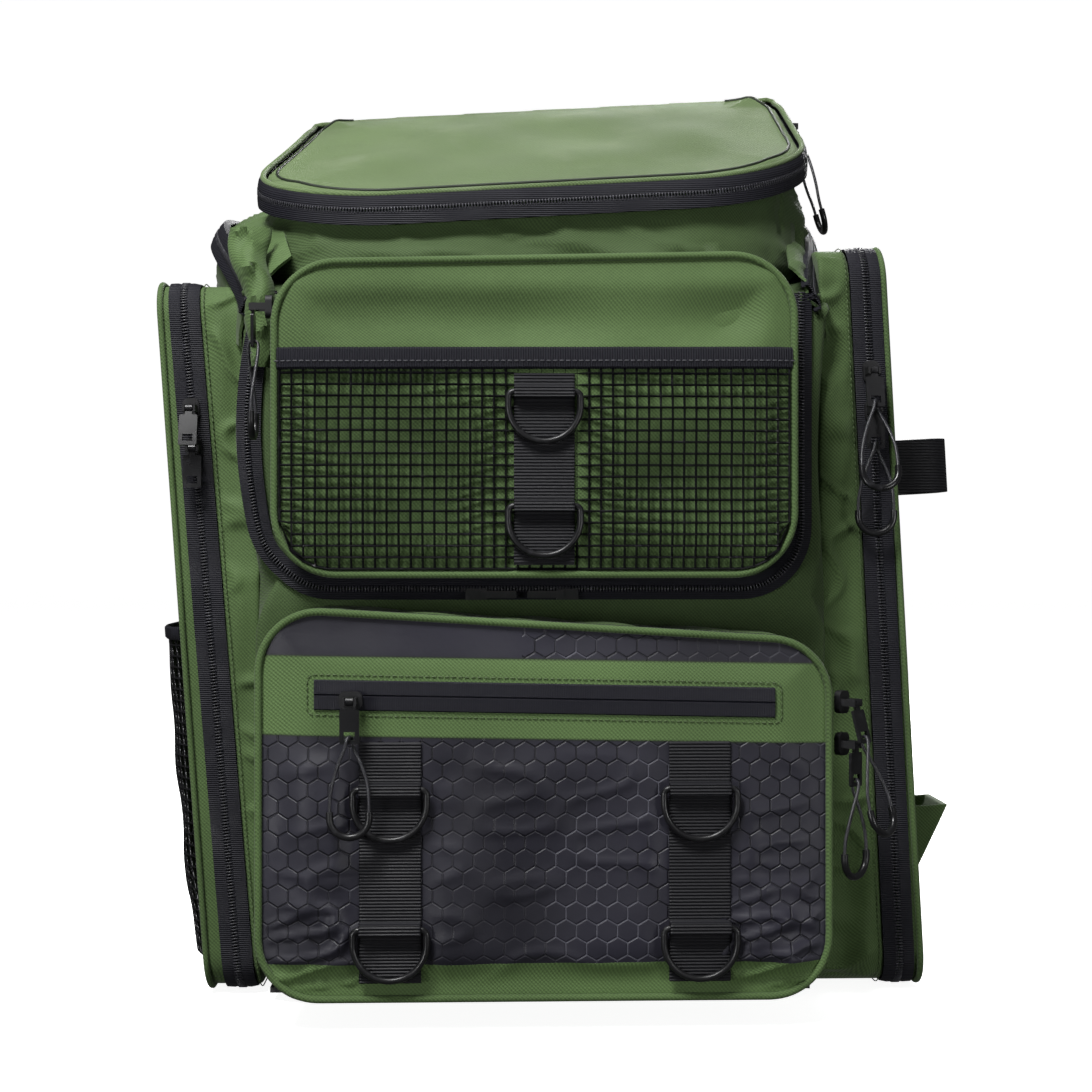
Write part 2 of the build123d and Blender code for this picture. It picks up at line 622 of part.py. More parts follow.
for name, z, lean in zip(("right_high", "right_low"), RIGHT_SLIDERS, (PULL_LEAN, 0)):
    roll = math.degrees(math.atan2(SIDE_ZIP["right"][1] - SIDE_ZIP["right"][0], SIDE_TOP["right"]))
    zip_pair(name, (on_side(SIDE_ZIP, "right", z), SIDE_FRONT, z), 0, lean, roll)
for name, z, lean in zip(("left_high", "left_low"), LEFT_SLIDERS, (PULL_LEAN, 0)):
    roll = math.degrees(math.atan2(SIDE_ZIP["left"][1] - SIDE_ZIP["left"][0], SIDE_TOP["left"]))
    zip_pair(name, (on_side(SIDE_ZIP, "left", z), SIDE_FRONT, z), 0, lean, roll, cord=False)
for name, z, lean in zip(("lower_high", "lower_low"), LOWER_SLIDERS, (PULL_LEAN, 0)):
    zip_pair(name, (LOWER_HALF_WIDTH + 5.5, LOWER_MOUTH, z), 45, lean)
zip_pair("upper", (UPPER_LEFT, UPPER_MOUTH, UPPER_SLIDER), -90)
zip_pair("welt", (WELT_SLIDER, LOWER_FACE - welt_proud, (welt_bottom + welt_top) / 2), 0, roll=90)
cap_place = (CAP_HALF_WIDTH, CAP_SLIDER, cap_height(CAP_HALF_WIDTH, CAP_SLIDER))
zip_pair("cap", cap_place, 90, PULL_LEAN, roll=90 - math.degrees(math.atan(CAP_SLOPE)))
save("slider_main_left", *main_slider(-36.0, 1))
save("slider_main_right", *main_slider(14.0, -1))
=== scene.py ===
import json
import math

import bpy
import numpy as np
from mathutils import Matrix, Vector


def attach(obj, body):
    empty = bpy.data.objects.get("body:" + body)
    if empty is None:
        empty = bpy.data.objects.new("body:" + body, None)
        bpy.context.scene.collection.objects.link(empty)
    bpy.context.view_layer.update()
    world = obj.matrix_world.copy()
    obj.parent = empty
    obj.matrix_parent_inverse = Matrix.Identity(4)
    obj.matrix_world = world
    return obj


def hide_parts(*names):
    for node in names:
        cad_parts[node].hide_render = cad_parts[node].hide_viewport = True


bl_info = {
    "name": "Tackle backpack",
    "version": (1, 0, 0),
    "blender": (4, 5, 0),
    "location": "3D View > Sidebar > Backpack",
    "description": "Builds the fabric, zippers, mesh and webbing of a tackle backpack",
    "category": "Object",
}

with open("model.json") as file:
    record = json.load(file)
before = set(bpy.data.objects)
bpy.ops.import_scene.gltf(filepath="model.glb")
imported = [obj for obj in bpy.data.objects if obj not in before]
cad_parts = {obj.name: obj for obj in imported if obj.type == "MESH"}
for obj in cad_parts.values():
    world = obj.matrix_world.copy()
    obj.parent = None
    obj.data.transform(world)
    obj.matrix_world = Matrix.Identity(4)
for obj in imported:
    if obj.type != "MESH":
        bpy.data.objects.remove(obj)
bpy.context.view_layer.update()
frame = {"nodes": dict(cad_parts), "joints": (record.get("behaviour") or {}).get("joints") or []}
MM = 0.001
ARC_STEPS = 12
FRONT, BACK = -90.0, 90.0            # millimetres, like every plain number below
# a front pocket: left, right, bottom, the left and right ends of its top, and its corners' radius
LOWER = (-149.0, 149.0, 17.0, (221.0, 203.0), 32.0)
UPPER = (-143.0, 134.0, 236.0, (402.0, 408.0), 34.0)
# how far forward each front pocket's zipper and face are
LOWER_MOUTH, LOWER_FACE = -140.0, -155.0
UPPER_MOUTH, UPPER_FACE = -123.0, -136.0
# a side pocket's height, and its zipper's and its face's places across, at the bottom and at the top
SIDE_TOP = {"left": 399.0, "right": 421.0}
SIDE_ZIP = {"left": (-168.0, -200.0), "right": (203.0, 182.0)}
SIDE_FACE = {"left": (-186.0, -214.0), "right": (216.0, 193.0)}
OUTWARD = {"left": -1.0, "right": 1.0}
SIDE_HALF, SIDE_LOW, SIDE_ROUND = 75.0, 4.0, 20.0
# a pull cord's points, from its joint's pin: from one end of its grip up through the tab, and back
CORD_ROUTE = [
    (-10.0, 0.0, -56.0), (-10.0, 0.0, -50.0), (-8.2, -1.6, -40.0), (-4.6, -2.6, -29.0),
    (-1.8, -3.0, -23.0), (-1.0, -2.6, -18.0), (1.0, 2.6, -18.0), (1.6, 3.0, -23.5),
    (5.0, 2.4, -30.0), (9.0, 1.4, -40.5), (10.0, 0.0, -50.0), (10.0, 0.0, -56.0),
]
# each corded pull: how far it is turned about the upright, and how far it leans out, in degrees
PULLS = {
    "right_high": (0, 16), "right_low": (0, 0), "lower_high": (45, 16), "lower_low": (45, 0),
    "upper": (-90, 0), "welt": (0, 0), "cap": (90, 16),
}


# ---- sizes and colours a user may change ----
def colour(name, text, value):
    return bpy.props.FloatVectorProperty(
        name=name, description=text, default=value, size=3, subtype="COLOR", min=0, max=1
    )


def length(name, text, value):
    return bpy.props.FloatProperty(
        name=name, description=text, default=value, min=0, subtype="DISTANCE", unit="LENGTH"
    )


class PackSettings(bpy.types.PropertyGroup):
    green: colour("Green", "Colour of the oxford fabric", (0.055, 0.094, 0.030))
    lid_green: colour("Lid green", "Colour of the lid, which is paler with dust", (0.080, 0.120, 0.046))
    black: colour("Black", "Colour of zipper tape and binding", (0.0065, 0.0065, 0.0100))
    hex_black: colour("Hexagon fabric", "Colour of the embossed fabric", (0.0125, 0.0120, 0.0185))
    webbing: colour("Webbing", "Colour of the webbing", (0.0075, 0.0075, 0.0092))
    plastic: colour("Plastic", "Colour of rings, sliders and grips", (0.0060, 0.0060, 0.0068))
    wrinkle: bpy.props.FloatProperty(
        name="Wrinkle", description="How strongly the fabric is wrinkled", default=1.0, min=0, max=2
    )
    piping: length("Piping", "Diameter of the piping cord", 0.0040)
    tooth: length("Tooth pitch", "Distance from one zipper tooth to the next", 0.0017)
    stitch: length("Stitch pitch", "Distance from one stitch to the next", 0.0034)
    mesh_cell: length("Mesh cell", "Size of one hole of the coated mesh", 0.0062)
    mesh_wire: length("Mesh wire", "Thickness of the coated mesh's strands", 0.0019)
    hexagon: length("Hexagon", "Width across one embossed hexagon", 0.0106)
    weave: length("Weave", "Distance between two ridges of the weave", 0.0015)


def settings():
    return bpy.context.scene.pack


# ---- modelling helpers ----
def choose(*pieces):
    bpy.ops.object.select_all(action="DESELECT")
    for piece in pieces:
        piece.select_set(True)
    bpy.context.view_layer.objects.active = pieces[0]


def edit(piece, *steps):
    """Run edit mode operators on all of a piece."""
    choose(piece)
    bpy.ops.object.mode_set(mode="EDIT")
    bpy.ops.mesh.select_all(action="SELECT")
    for step in steps:
        step()
    bpy.ops.object.mode_set(mode="OBJECT")


def modify(piece, kind, **values):
    """Add one modifier and apply it."""
    choose(piece)
    made = piece.modifiers.new(kind.title(), kind)
    for key, value in values.items():
        setattr(made, key, value)
    bpy.ops.object.modifier_apply(modifier=made.name)


def points(piece):
    flat = np.empty(len(piece.data.vertices) * 3, dtype=np.float32)
    piece.data.vertices.foreach_get("co", flat)
    return flat.reshape(-1, 3).astype(float)


def put(piece, places):
    piece.data.vertices.foreach_set("co", np.asarray(places, dtype=np.float32).ravel())
    piece.data.update()


def shape(piece, *moves):
    """Move every point of a piece. A move takes points in millimetres and gives them back."""
    places = points(piece) / MM
    for move in moves:
        places = move(places.copy())
    put(piece, places * MM)


def smooth(piece, angle=None):
    choose(piece)
    if angle is None:
        bpy.ops.object.shade_smooth()
    else:
        bpy.ops.object.shade_smooth_by_angle(angle=math.radians(angle))


def finish(piece, name, material, body, slot, *nodes):
    """Name a finished piece, give it its material, hang it on the body it rides on, and hide the CAD nodes it
    replaces.
    """
    piece.name = piece.data.name = name
    piece.data.materials.clear()
    piece.data.materials.append(material)
    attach(piece, body)
    if nodes:
        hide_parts(*nodes)
    return piece


def copy_node(node):
    """A merged copy of a CAD node's mesh, free to be shaped."""
    choose(frame["nodes"][node])
    bpy.ops.object.duplicate()
    piece = bpy.context.view_layer.objects.active
    piece.parent = None
    piece.matrix_world = Matrix()
    edit(piece, lambda: bpy.ops.mesh.remove_doubles(threshold=1e-5))
    return piece


def soften(node, voxel, rounds):
    """A CAD node's shape as cloth: an even mesh whose edges are eased."""
    piece = copy_node(node)
    piece.data.remesh_voxel_size = voxel * MM
    choose(piece)
    bpy.ops.object.voxel_remesh()
    modify(piece, "SMOOTH", factor=0.5, iterations=rounds)
    smooth(piece)
    return piece


def ease(low, high, value):
    t = np.clip((value - low) / (high - low), 0, 1)
    return t * t * (3 - 2 * t)


def ripple(places, size, seed):
    """Smooth unevenness from about -1 to 1. Size is one wave in millimetres, for each axis."""
    draw = np.random.default_rng(seed)
    total = np.zeros(len(places))
    for _ in range(7):
        way = draw.normal(size=3)
        way *= 2 * math.pi * draw.uniform(0.6, 1.5) / np.linalg.norm(way)
        total += np.sin((places / np.asarray(size)) @ way + draw.uniform(0, 6.28))
    return total / 3.4


def crease(places, size, seed):
    """Narrow ridges from 0 to 1, as folds in stiff fabric."""
    return np.exp(-((ripple(places, size, seed) / 0.22) ** 2))


def resample(line, step, closed):
    line = np.asarray(line, float)
    if closed:
        line = np.vstack([line, line[:1]])
    along = np.concatenate([[0], np.cumsum(np.linalg.norm(np.diff(line, axis=0), axis=1))])
    count = max(3, round(along[-1] / step))
    marks = np.linspace(0, along[-1], count + 1)
    if closed:
        marks = marks[:-1]
    return np.stack([np.interp(marks, along, line[:, i]) for i in range(line.shape[1])], axis=1)


def thin_out(line, count):
    """So many of a line's points, chosen evenly, with both ends."""
    return line[np.linspace(0, len(line) - 1, count).astype(int)]


def rounded(corners, radii, step=4.0, closed=True):
    """Even points along a polygon whose corners are rounded."""
    corners = [np.array(c, float) for c in corners]
    out = []
    for i, c in enumerate(corners):
        r = radii[i] if isinstance(radii, (list, tuple)) else radii
        if r <= 0 or (not closed and i in (0, len(corners) - 1)):
            out.append(c)
            continue
        u = corners[i - 1] - c
        v = corners[(i + 1) % len(corners)] - c
        u, v = u / np.linalg.norm(u), v / np.linalg.norm(v)
        half = math.acos(float(np.clip(u @ v, -1, 1))) / 2
        centre = c + (u + v) / np.linalg.norm(u + v) * r / math.sin(half)
        start, end = c + u * r / math.tan(half), c + v * r / math.tan(half)
        a0 = math.atan2(*(start - centre)[::-1])
        a1 = math.atan2(*(end - centre)[::-1])
        sweep = (a1 - a0 + math.pi) % (2 * math.pi) - math.pi
        for k in range(ARC_STEPS + 1):
            a = a0 + sweep * k / ARC_STEPS
            out.append(centre + r * np.array([math.cos(a), math.sin(a)]))
    return resample(out, step, closed)


def pocket_line(outline, inset, step=4.0):
    left, right, low, (high_left, high_right), radius = outline
    corners = [
        (left + inset, low + inset), (right - inset, low + inset),
        (right - inset, high_right - inset), (left + inset, high_left - inset),
    ]
    return rounded(corners, radius - inset, step)


def upright(line, y):
    """Points in X and Z, stood up at a depth that is a number or one for each point."""
    return np.stack([line[:, 0], np.broadcast_to(y, len(line)), line[:, 1]], axis=1)


def lay_grid(rows, closed=False, wall=0.0):
    """A grid primitive laid over rows of points, with UVs in metres."""
    rows = np.asarray(rows, float)
    if closed:
        rows = np.concatenate([rows, rows[:, :1]], axis=1)
    m, n = rows.shape[:2]
    bpy.ops.object.select_all(action="DESELECT")
    bpy.ops.mesh.primitive_grid_add(x_subdivisions=n - 1, y_subdivisions=m - 1, size=2)
    piece = bpy.context.view_layer.objects.active
    flat = points(piece)
    across = np.rint((flat[:, 0] + 1) / 2 * (n - 1)).astype(int)
    up = np.rint((flat[:, 1] + 1) / 2 * (m - 1)).astype(int)
    put(piece, rows[up, across] * MM)
    along = np.concatenate([[0], np.cumsum(np.linalg.norm(np.diff(rows[0], axis=0), axis=1))])
    high = np.concatenate([[0], np.cumsum(np.linalg.norm(np.diff(rows[:, 0], axis=0), axis=1))])
    corner = np.empty(len(piece.data.loops), dtype=np.int32)
    piece.data.loops.foreach_get("vertex_index", corner)
    uv = np.stack([along[across[corner]], high[up[corner]]], axis=1) * MM
    piece.data.uv_layers.active.data.foreach_set("uv", uv.astype(np.float32).ravel())
    if closed:
        edit(piece, lambda: bpy.ops.mesh.remove_doubles(threshold=1e-6))
    edit(piece, lambda: bpy.ops.mesh.normals_make_consistent(inside=False))
    if wall:
        modify(piece, "SOLIDIFY", thickness=wall * MM, offset=0.0)
    smooth(piece, 40)
    return piece


def tube(line, radius, closed=False):
    """A round cord along points, made a mesh."""
    data = bpy.data.curves.new("line", "CURVE")
    data.dimensions = "3D"
    spline = data.splines.new("POLY")
    spline.points.add(len(line) - 1)
    places = np.column_stack([np.asarray(line) * MM, np.ones(len(line))])
    spline.points.foreach_set("co", places.ravel())
    spline.use_cyclic_u = closed
    data.bevel_depth = radius * MM
    data.bevel_resolution = 3
    data.use_fill_caps = not closed
    piece = bpy.data.objects.new("line", data)
    bpy.context.scene.collection.objects.link(piece)
    choose(piece)
    bpy.ops.object.convert(target="MESH")
    smooth(piece)
    return piece


def block(size, bevel):
    """A small block at the origin with cut edges, to be copied."""
    bpy.ops.object.select_all(action="DESELECT")
    bpy.ops.mesh.primitive_cube_add(size=1)
    piece = bpy.context.view_layer.objects.active
    edit(
        piece,
        lambda: bpy.ops.transform.resize(value=[s * MM for s in size]),
        lambda: bpy.ops.mesh.bevel(offset=bevel * MM, segments=1, affect="EDGES"),
    )
    return piece


def repeat(base, places, along, out):
    """Copies of a block at places, its X along one way and its Y facing outward, as one mesh."""
    places, along, out = (np.asarray(a, float) for a in (places, along, out))
    along = along / np.linalg.norm(along, axis=1, keepdims=True)
    out = out - along * np.sum(along * out, axis=1, keepdims=True)
    out = out / np.linalg.norm(out, axis=1, keepdims=True)
    third = np.cross(along, out)
    dots = points(base)
    turned = (dots[None, :, 0:1] * along[:, None] + dots[None, :, 1:2] * out[:, None]
              + dots[None, :, 2:3] * third[:, None] + places[:, None] * MM)
    faces = [list(p.vertices) for p in base.data.polygons]
    count = len(dots)
    every = [[i + k * count for i in face] for k in range(len(places)) for face in faces]
    mesh = bpy.data.meshes.new("copies")
    mesh.from_pydata(turned.reshape(-1, 3), [], every)
    piece = bpy.data.objects.new("copies", mesh)
    bpy.context.scene.collection.objects.link(piece)
    bpy.data.objects.remove(base)
    smooth(piece, 50)
    return piece


def tangents(line, closed):
    if closed:
        return np.roll(line, -1, axis=0) - np.roll(line, 1, axis=0)
    return np.gradient(line, axis=0)


def coil(line, out, closed=False, width=3.4):
    """Zipper teeth along a line of points, spaced evenly."""
    both = resample(np.column_stack([line, out]), settings().tooth / MM, closed)
    places, facing = both[:, :3], both[:, 3:]
    return repeat(block((0.9, 1.1, width), 0.22), places, tangents(places, closed), facing)


def sew(line, out, closed=False):
    """A row of stitches along a line of points."""
    both = resample(np.column_stack([line, out]), settings().stitch / MM, closed)
    places, facing = both[:, :3], both[:, 3:]
    base = block((settings().stitch / MM * 0.72, 0.55, 0.7), 0.2)
    return repeat(base, places, tangents(places, closed), facing)


def outward(line, closed=True):
    """The way out from a closed outline's points, in its own plane."""
    t = tangents(line, closed)
    n = np.stack([t[:, 1], -t[:, 0]], axis=1)
    return n / np.linalg.norm(n, axis=1, keepdims=True)


# ---- materials ----
class Signal:
    """One shader socket, so that shading maths reads as plain expressions."""

    def __init__(self, look, socket):
        self.look, self.socket = look, socket

    def maths(self, operation, *values):
        return self.look.node("ShaderNodeMath", {"operation": operation}, dict(enumerate(values)))

    def __add__(self, other):
        return self.maths("ADD", self, other)

    def __sub__(self, other):
        return self.maths("SUBTRACT", self, other)

    def __rsub__(self, other):
        return self.maths("SUBTRACT", other, self)

    def __mul__(self, other):
        return self.maths("MULTIPLY", self, other)

    def __truediv__(self, other):
        return self.maths("DIVIDE", self, other)

    def __gt__(self, other):
        return self.maths("GREATER_THAN", self, other)

    def __lt__(self, other):
        return self.maths("LESS_THAN", self, other)

    __radd__, __rmul__ = __add__, __mul__

    def sine(self):
        return self.maths("SINE", self)

    def size(self):
        return self.maths("ABSOLUTE", self)

    def least(self, other):
        return self.maths("MINIMUM", self, other)

    def most(self, other):
        return self.maths("MAXIMUM", self, other)

    def wrap(self, high, low):
        return self.maths("WRAP", self, high, low)

    def ramp(self, low, high, start=0.0, end=1.0):
        return self.look.node("ShaderNodeMapRange", {"interpolation_type": "SMOOTHSTEP"}, {
            "Value": self, "From Min": low, "From Max": high, "To Min": start, "To Max": end,
        })


class Look:
    """One material, and the way its nodes are added."""

    def __init__(self, name):
        self.material = bpy.data.materials.new(name)
        self.material.use_nodes = True
        self.tree = self.material.node_tree
        self.shader = self.tree.nodes["Principled BSDF"]
        place = self.tree.nodes.new("ShaderNodeTexCoord")
        self.place = Signal(self, place.outputs["Object"])
        self.uv = Signal(self, place.outputs["UV"])

    def node(self, kind, values=None, inputs=None, output=0):
        made = self.tree.nodes.new(kind)
        for key, value in (values or {}).items():
            setattr(made, key, value)
        for key, value in (inputs or {}).items():
            self.feed(made.inputs[key], value)
        return Signal(self, made.outputs[output])

    def feed(self, socket, value):
        if isinstance(value, Signal):
            self.tree.links.new(value.socket, socket)
        else:
            socket.default_value = value

    def split(self, vector):
        made = self.node("ShaderNodeSeparateXYZ", inputs={0: vector}).socket.node
        return [Signal(self, made.outputs[i]) for i in range(3)]

    def noise(self, scale, detail=3.0, vector=None):
        return self.node("ShaderNodeTexNoise", inputs={
            "Vector": vector or self.place, "Scale": scale, "Detail": detail})

    def mix(self, factor, first, second):
        return self.node("ShaderNodeMix", {"data_type": "RGBA"}, {0: factor, 6: first, 7: second}, 2)

    def bump(self, height, distance, strength=1.0):
        return self.node("ShaderNodeBump", inputs={
            "Height": height, "Distance": distance, "Strength": strength})

    def done(self, **sockets):
        for key, value in sockets.items():
            self.feed(self.shader.inputs[key.replace("_", " ")], value)
        return self.material


def rgb(value, gain=1.0):
    return tuple(min(1.0, c * gain) for c in value) + (1.0,)


def twill(look, pitch):
    """Fine slanting ridges crossed by weaker ones, from 0 to 1."""
    x, y, z = look.split(look.place)
    u = x + y * 0.45
    v = z + y * 0.55
    turn = 2 * math.pi / pitch
    one = ((u + v) * (turn * 0.7071)).sine()
    two = ((u - v) * (turn * 0.7071)).sine()
    return one * 0.32 + two * 0.18 + 0.5


def oxford(name, tone, dust=0.0):
    """Woven polyester with dust on it and darker, worn patches."""
    look = Look(name)
    threads = twill(look, settings().weave)
    cloud = look.noise(9.0, 4.0)
    grain = look.noise(420.0, 2.0)
    base = look.mix(cloud.ramp(0.32, 0.72), rgb(tone, 0.70), rgb(tone, 1.22))
    valley, ridge = look.mix(0.4, base, rgb(tone, 0.4)), look.mix(0.5, base, rgb(tone, 1.9))
    base = look.mix(threads * 0.9 + grain * 0.3 - 0.15, valley, ridge)
    if dust:
        pale = look.noise(26.0, 5.0).ramp(0.5, 0.85) * dust
        base = look.mix(pale, base, (0.20, 0.24, 0.15, 1.0))
    rough = cloud.ramp(0.3, 0.8, 0.82, 0.66)
    look.shader.inputs["Sheen Weight"].default_value = 0.08
    look.shader.inputs["Sheen Roughness"].default_value = 0.5
    look.shader.inputs["Specular IOR Level"].default_value = 0.25
    height = threads * 0.8 + grain * 0.5
    return look.done(Base_Color=base, Roughness=rough, Normal=look.bump(height, 0.0003, 0.7))


def hex_edge(look):
    """How near a point is to the line between two embossed hexagons: 0 in a middle, 0.5 on the line."""
    x, _, z = look.split(look.place)
    size = settings().hexagon
    shift = 40.0                     # in cells, so that no place is negative
    u, v = x / size + shift, z / size + shift
    tall = math.sqrt(3)

    def cell(du, dv):
        a = (u + du).wrap(0.5, -0.5)
        b = (v + dv).wrap(tall / 2, -tall / 2)
        return a, b

    (a1, b1), (a2, b2) = cell(0, 0), cell(0.5, tall / 2)
    near = (a1 * a1 + b1 * b1) < (a2 * a2 + b2 * b2)

    def reach(a, b):
        return a.size().most(a.size() * 0.5 + b.size() * (tall / 2))

    one, two = reach(a1, b1), reach(a2, b2)
    return near * one + (1 - near) * two


def pocket_front(name):
    """The lower pocket's front: hexagon fabric with a green band and a green strip below."""
    look = Look(name)
    s = settings()
    x, y, z = look.split(look.place)
    top = 0.1934 - x * 0.0175        # the green band's edges, in metres, which fall to the right
    low = 0.1522 - x * 0.018
    band = (z < top) * (z > low)
    foot = z < (0.0345 + look.noise(14.0) * 0.004)
    rim = y > (LOWER_FACE + 8.6) * MM
    green = band.most(foot).most(rim)
    threads = twill(look, s.weave)
    cloud = look.noise(9.0, 4.0)
    # painted light: the pocket's green band and strip take a brighter copy of the green, 1.05 to 1.6 of it
    # against 0.70 to 1.22 on the other oxford parts, standing in for the light on the pocket's front
    painted_lit_green = look.mix(cloud.ramp(0.32, 0.72), rgb(s.green, 1.05), rgb(s.green, 1.60))
    valley, ridge = look.mix(0.4, painted_lit_green, rgb(s.green, 0.4)), look.mix(0.5, painted_lit_green, rgb(s.green, 2.1))
    painted_lit_green = look.mix(threads * 0.9, valley, ridge)
    edge = hex_edge(look)
    line = edge.ramp(0.455, 0.49)
    worn = look.noise(16.0, 4.0).ramp(0.50, 0.66)
    faint = look.noise(9.0, 3.0).ramp(0.36, 0.56, 0.25, 1.0)
    dark = look.mix(cloud.ramp(0.3, 0.75), rgb(s.hex_black, 0.7), rgb(s.hex_black, 1.5))
    # painted light: the lines between the hexagons are painted pale grey where the worn noise is high, a
    # painted highlight on their ridges, and darker than the cells where it is low, a painted shade in their
    # grooves
    lit = look.mix(worn, rgb(s.hex_black, 0.25), (0.075, 0.075, 0.095, 1.0))
    plain = (z > top) * (x < -0.012)
    faint = faint * (1 - plain)
    dark = look.mix(line * faint * 0.9, dark, lit)
    base = look.mix(green, dark, painted_lit_green)
    # painted shade: a dark green line is painted along both edges of the green band, standing in for the
    # shade in the folds of its seams
    fold = (z - top).size().least((z - low).size()).ramp(0.0, 0.0012, 0.35, 1.0)
    base = look.mix(fold, (0.01, 0.015, 0.006, 1.0), base)
    rough = green * 0.72 + (1 - green) * look.noise(30.0).ramp(0.3, 0.7, 0.44, 0.60)
    groove = edge.ramp(0.43, 0.49) * faint * -0.8
    height = green * (threads * 0.35) + (1 - green) * (groove + look.noise(300.0) * 0.18)
    look.shader.inputs["Specular IOR Level"].default_value = 0.32
    return look.done(Base_Color=base, Roughness=rough, Normal=look.bump(height, 0.0006, 0.8))


def ribbed(name, tone, pitch, way, rough=0.62, depth=0.0004):
    """Webbing or tape: fine ribs that run across one way, with fluff on them."""
    look = Look(name)
    look.shader.inputs["Specular IOR Level"].default_value = 0.22
    axes = look.split(look.place)
    ribs = (axes[way] * (2 * math.pi / pitch)).sine() * 0.5 + 0.5
    fluff = look.noise(600.0, 2.0)
    base = look.mix(ribs * 0.6 + fluff * 0.3, rgb(tone, 0.55), rgb(tone, 2.0))
    gloss = look.noise(40.0).ramp(0.3, 0.7, rough - 0.08, rough + 0.1)
    return look.done(Base_Color=base, Roughness=gloss, Normal=look.bump(ribs + fluff * 0.3, depth, 0.8))


def moulded(name, tone, rough):
    """Moulded plastic or enamelled metal with faint wear and scuffs."""
    look = Look(name)
    look.shader.inputs["Specular IOR Level"].default_value = 0.35
    scuff = look.noise(190.0, 4.0)
    patch = look.noise(24.0, 2.0)
    base = look.mix(scuff.ramp(0.55, 0.75), rgb(tone), rgb(tone, 2.6))
    gloss = patch.ramp(0.3, 0.7, rough - 0.06, rough + 0.10)
    return look.done(Base_Color=base, Roughness=gloss, Normal=look.bump(scuff, 0.00008, 0.5))


def thread(name, tone):
    """Twisted sewing thread."""
    look = Look(name)
    x, y, z = look.split(look.place)
    twist = ((x + z + y) * 9000.0).sine() * 0.5 + 0.5
    base = look.mix(twist, rgb(tone, 0.6), rgb(tone, 1.3))
    return look.done(Base_Color=base, Roughness=0.6, Normal=look.bump(twist, 0.0001, 0.6))


def braid(name, tone):
    """A thin round cord with a slanting braid."""
    look = Look(name)
    x, y, z = look.split(look.place)
    strands = ((z * 1.0 + x * 0.8) * 5200.0).sine() * ((z - y * 0.8) * 5200.0).sine()
    base = look.mix(strands * 0.5 + 0.5, rgb(tone), rgb(tone, 3.0))
    return look.done(Base_Color=base, Roughness=0.32, Normal=look.bump(strands, 0.0001, 0.6))


def spacer(name, tone):
    """Padded spacer mesh: rows of small round holes."""
    look = Look(name)
    x, y, z = look.split(look.place)
    wave = 0.0042                    # metres
    turn = 2 * math.pi / wave
    holes = (x * turn).sine() * ((z + y * 0.4) * turn).sine()
    pit = holes.ramp(0.1, 0.6)
    base = look.mix(pit, rgb(tone, 1.6), rgb(tone, 0.35))
    return look.done(Base_Color=base, Roughness=0.85, Normal=look.bump(1 - pit, 0.0006, 0.7))


LOOKS = {}


def look(name):
    """A material by name, made once."""
    if name not in LOOKS:
        s = settings()
        makers = {
            "oxford": lambda: oxford(name, s.green),
            # painted shade: a darker copy of the green, 0.72 of it, for the body, the flap, the lower
            # shoulder panels, the cap's wall and the upper gusset, standing in for the shade these parts lie
            # in
            "painted_shade_oxford": lambda: oxford(name, [0.72 * c for c in s.green]),
            "lid_oxford": lambda: oxford(name, s.lid_green, 0.35),
            "pocket_front": lambda: pocket_front(name),
            "zip_tape": lambda: ribbed(name, s.black, 0.0011, 2),
            "coated_tape": lambda: ribbed(name, s.black, 0.0009, 0, 0.42, 0.00008),
            "binding": lambda: ribbed(name, s.black, 0.0013, 0),
            "webbing": lambda: ribbed(name, s.webbing, 0.0017, 2, 0.55, 0.0006),
            "coated_mesh": lambda: moulded(name, s.plastic, 0.16),
            "ring_plastic": lambda: moulded(name, s.plastic, 0.34),
            "grip_plastic": lambda: moulded(name, s.plastic, 0.30),
            "enamel": lambda: moulded(name, s.plastic, 0.50),
            "teeth": lambda: moulded(name, (0.016, 0.016, 0.020), 0.38),
            "green_thread": lambda: thread(name, (0.05, 0.085, 0.025)),
            "black_thread": lambda: thread(name, (0.045, 0.045, 0.052)),
            "cord": lambda: braid(name, (0.012, 0.012, 0.014)),
            "spacer_mesh": lambda: spacer(name, (0.022, 0.022, 0.024)),
            # painted shade: a near-black copy of the green thread, for the tube along the lid's seam
            "painted_seam_shade": lambda: thread(name, (0.008, 0.014, 0.005)),
            "board": lambda: moulded(name, (0.03, 0.03, 0.03), 0.6),
        }
        LOOKS[name] = makers[name]()
    return LOOKS[name]


# ---- shapes that several pieces share ----
DOOR_LEFT, DOOR_RIGHT, DOOR_LOW, DOOR_HIGH = -149.5, 143.5, 228.5, 392.0    # the main zipper's line
DOOR_ROUND = 34.0
BASE_HALF, BASE_ROUND = 156.0, 30.0
CAP_HALF, CAP_FRONT, CAP_REAR = 154.0, -88.0, 84.0
CAP_LOW, CAP_HIGH = 444.0, 522.0     # the cap's rim, at its front and at its back
CAP_SLANT = math.tan(math.radians(3.4))                    # and how it rises to the right
CAP_ROUND = 32.0
SHOULDERS = {    # from front to back: the panel's lower edge, the zipper and the upper edge
    "left": (
        [(-166, -88, 362), (-176, -50, 372), (-186, -10, 382), (-192, 36, 392), (-190, 86, 398)],
        [(-158, -93, 384), (-168, -62, 404), (-182, -22, 426), (-190, 26, 442), (-182, 86, 450)],
        [(-138, -84, 412), (-146, -54, 434), (-150, -8, 452), (-150, 36, 462), (-148, 86, 470)],
    ),
    "right": (
        [(160, -84, 366), (164, -56, 376), (169, -6, 386), (172, 40, 398), (168, 86, 404)],
        [(147, -93, 388), (152, -60, 408), (160, -16, 428), (165, 34, 444), (160, 86, 452)],
        [(138, -84, 408), (142, -50, 430), (144, 0, 450), (146, 40, 462), (144, 86, 470)],
    ),
}


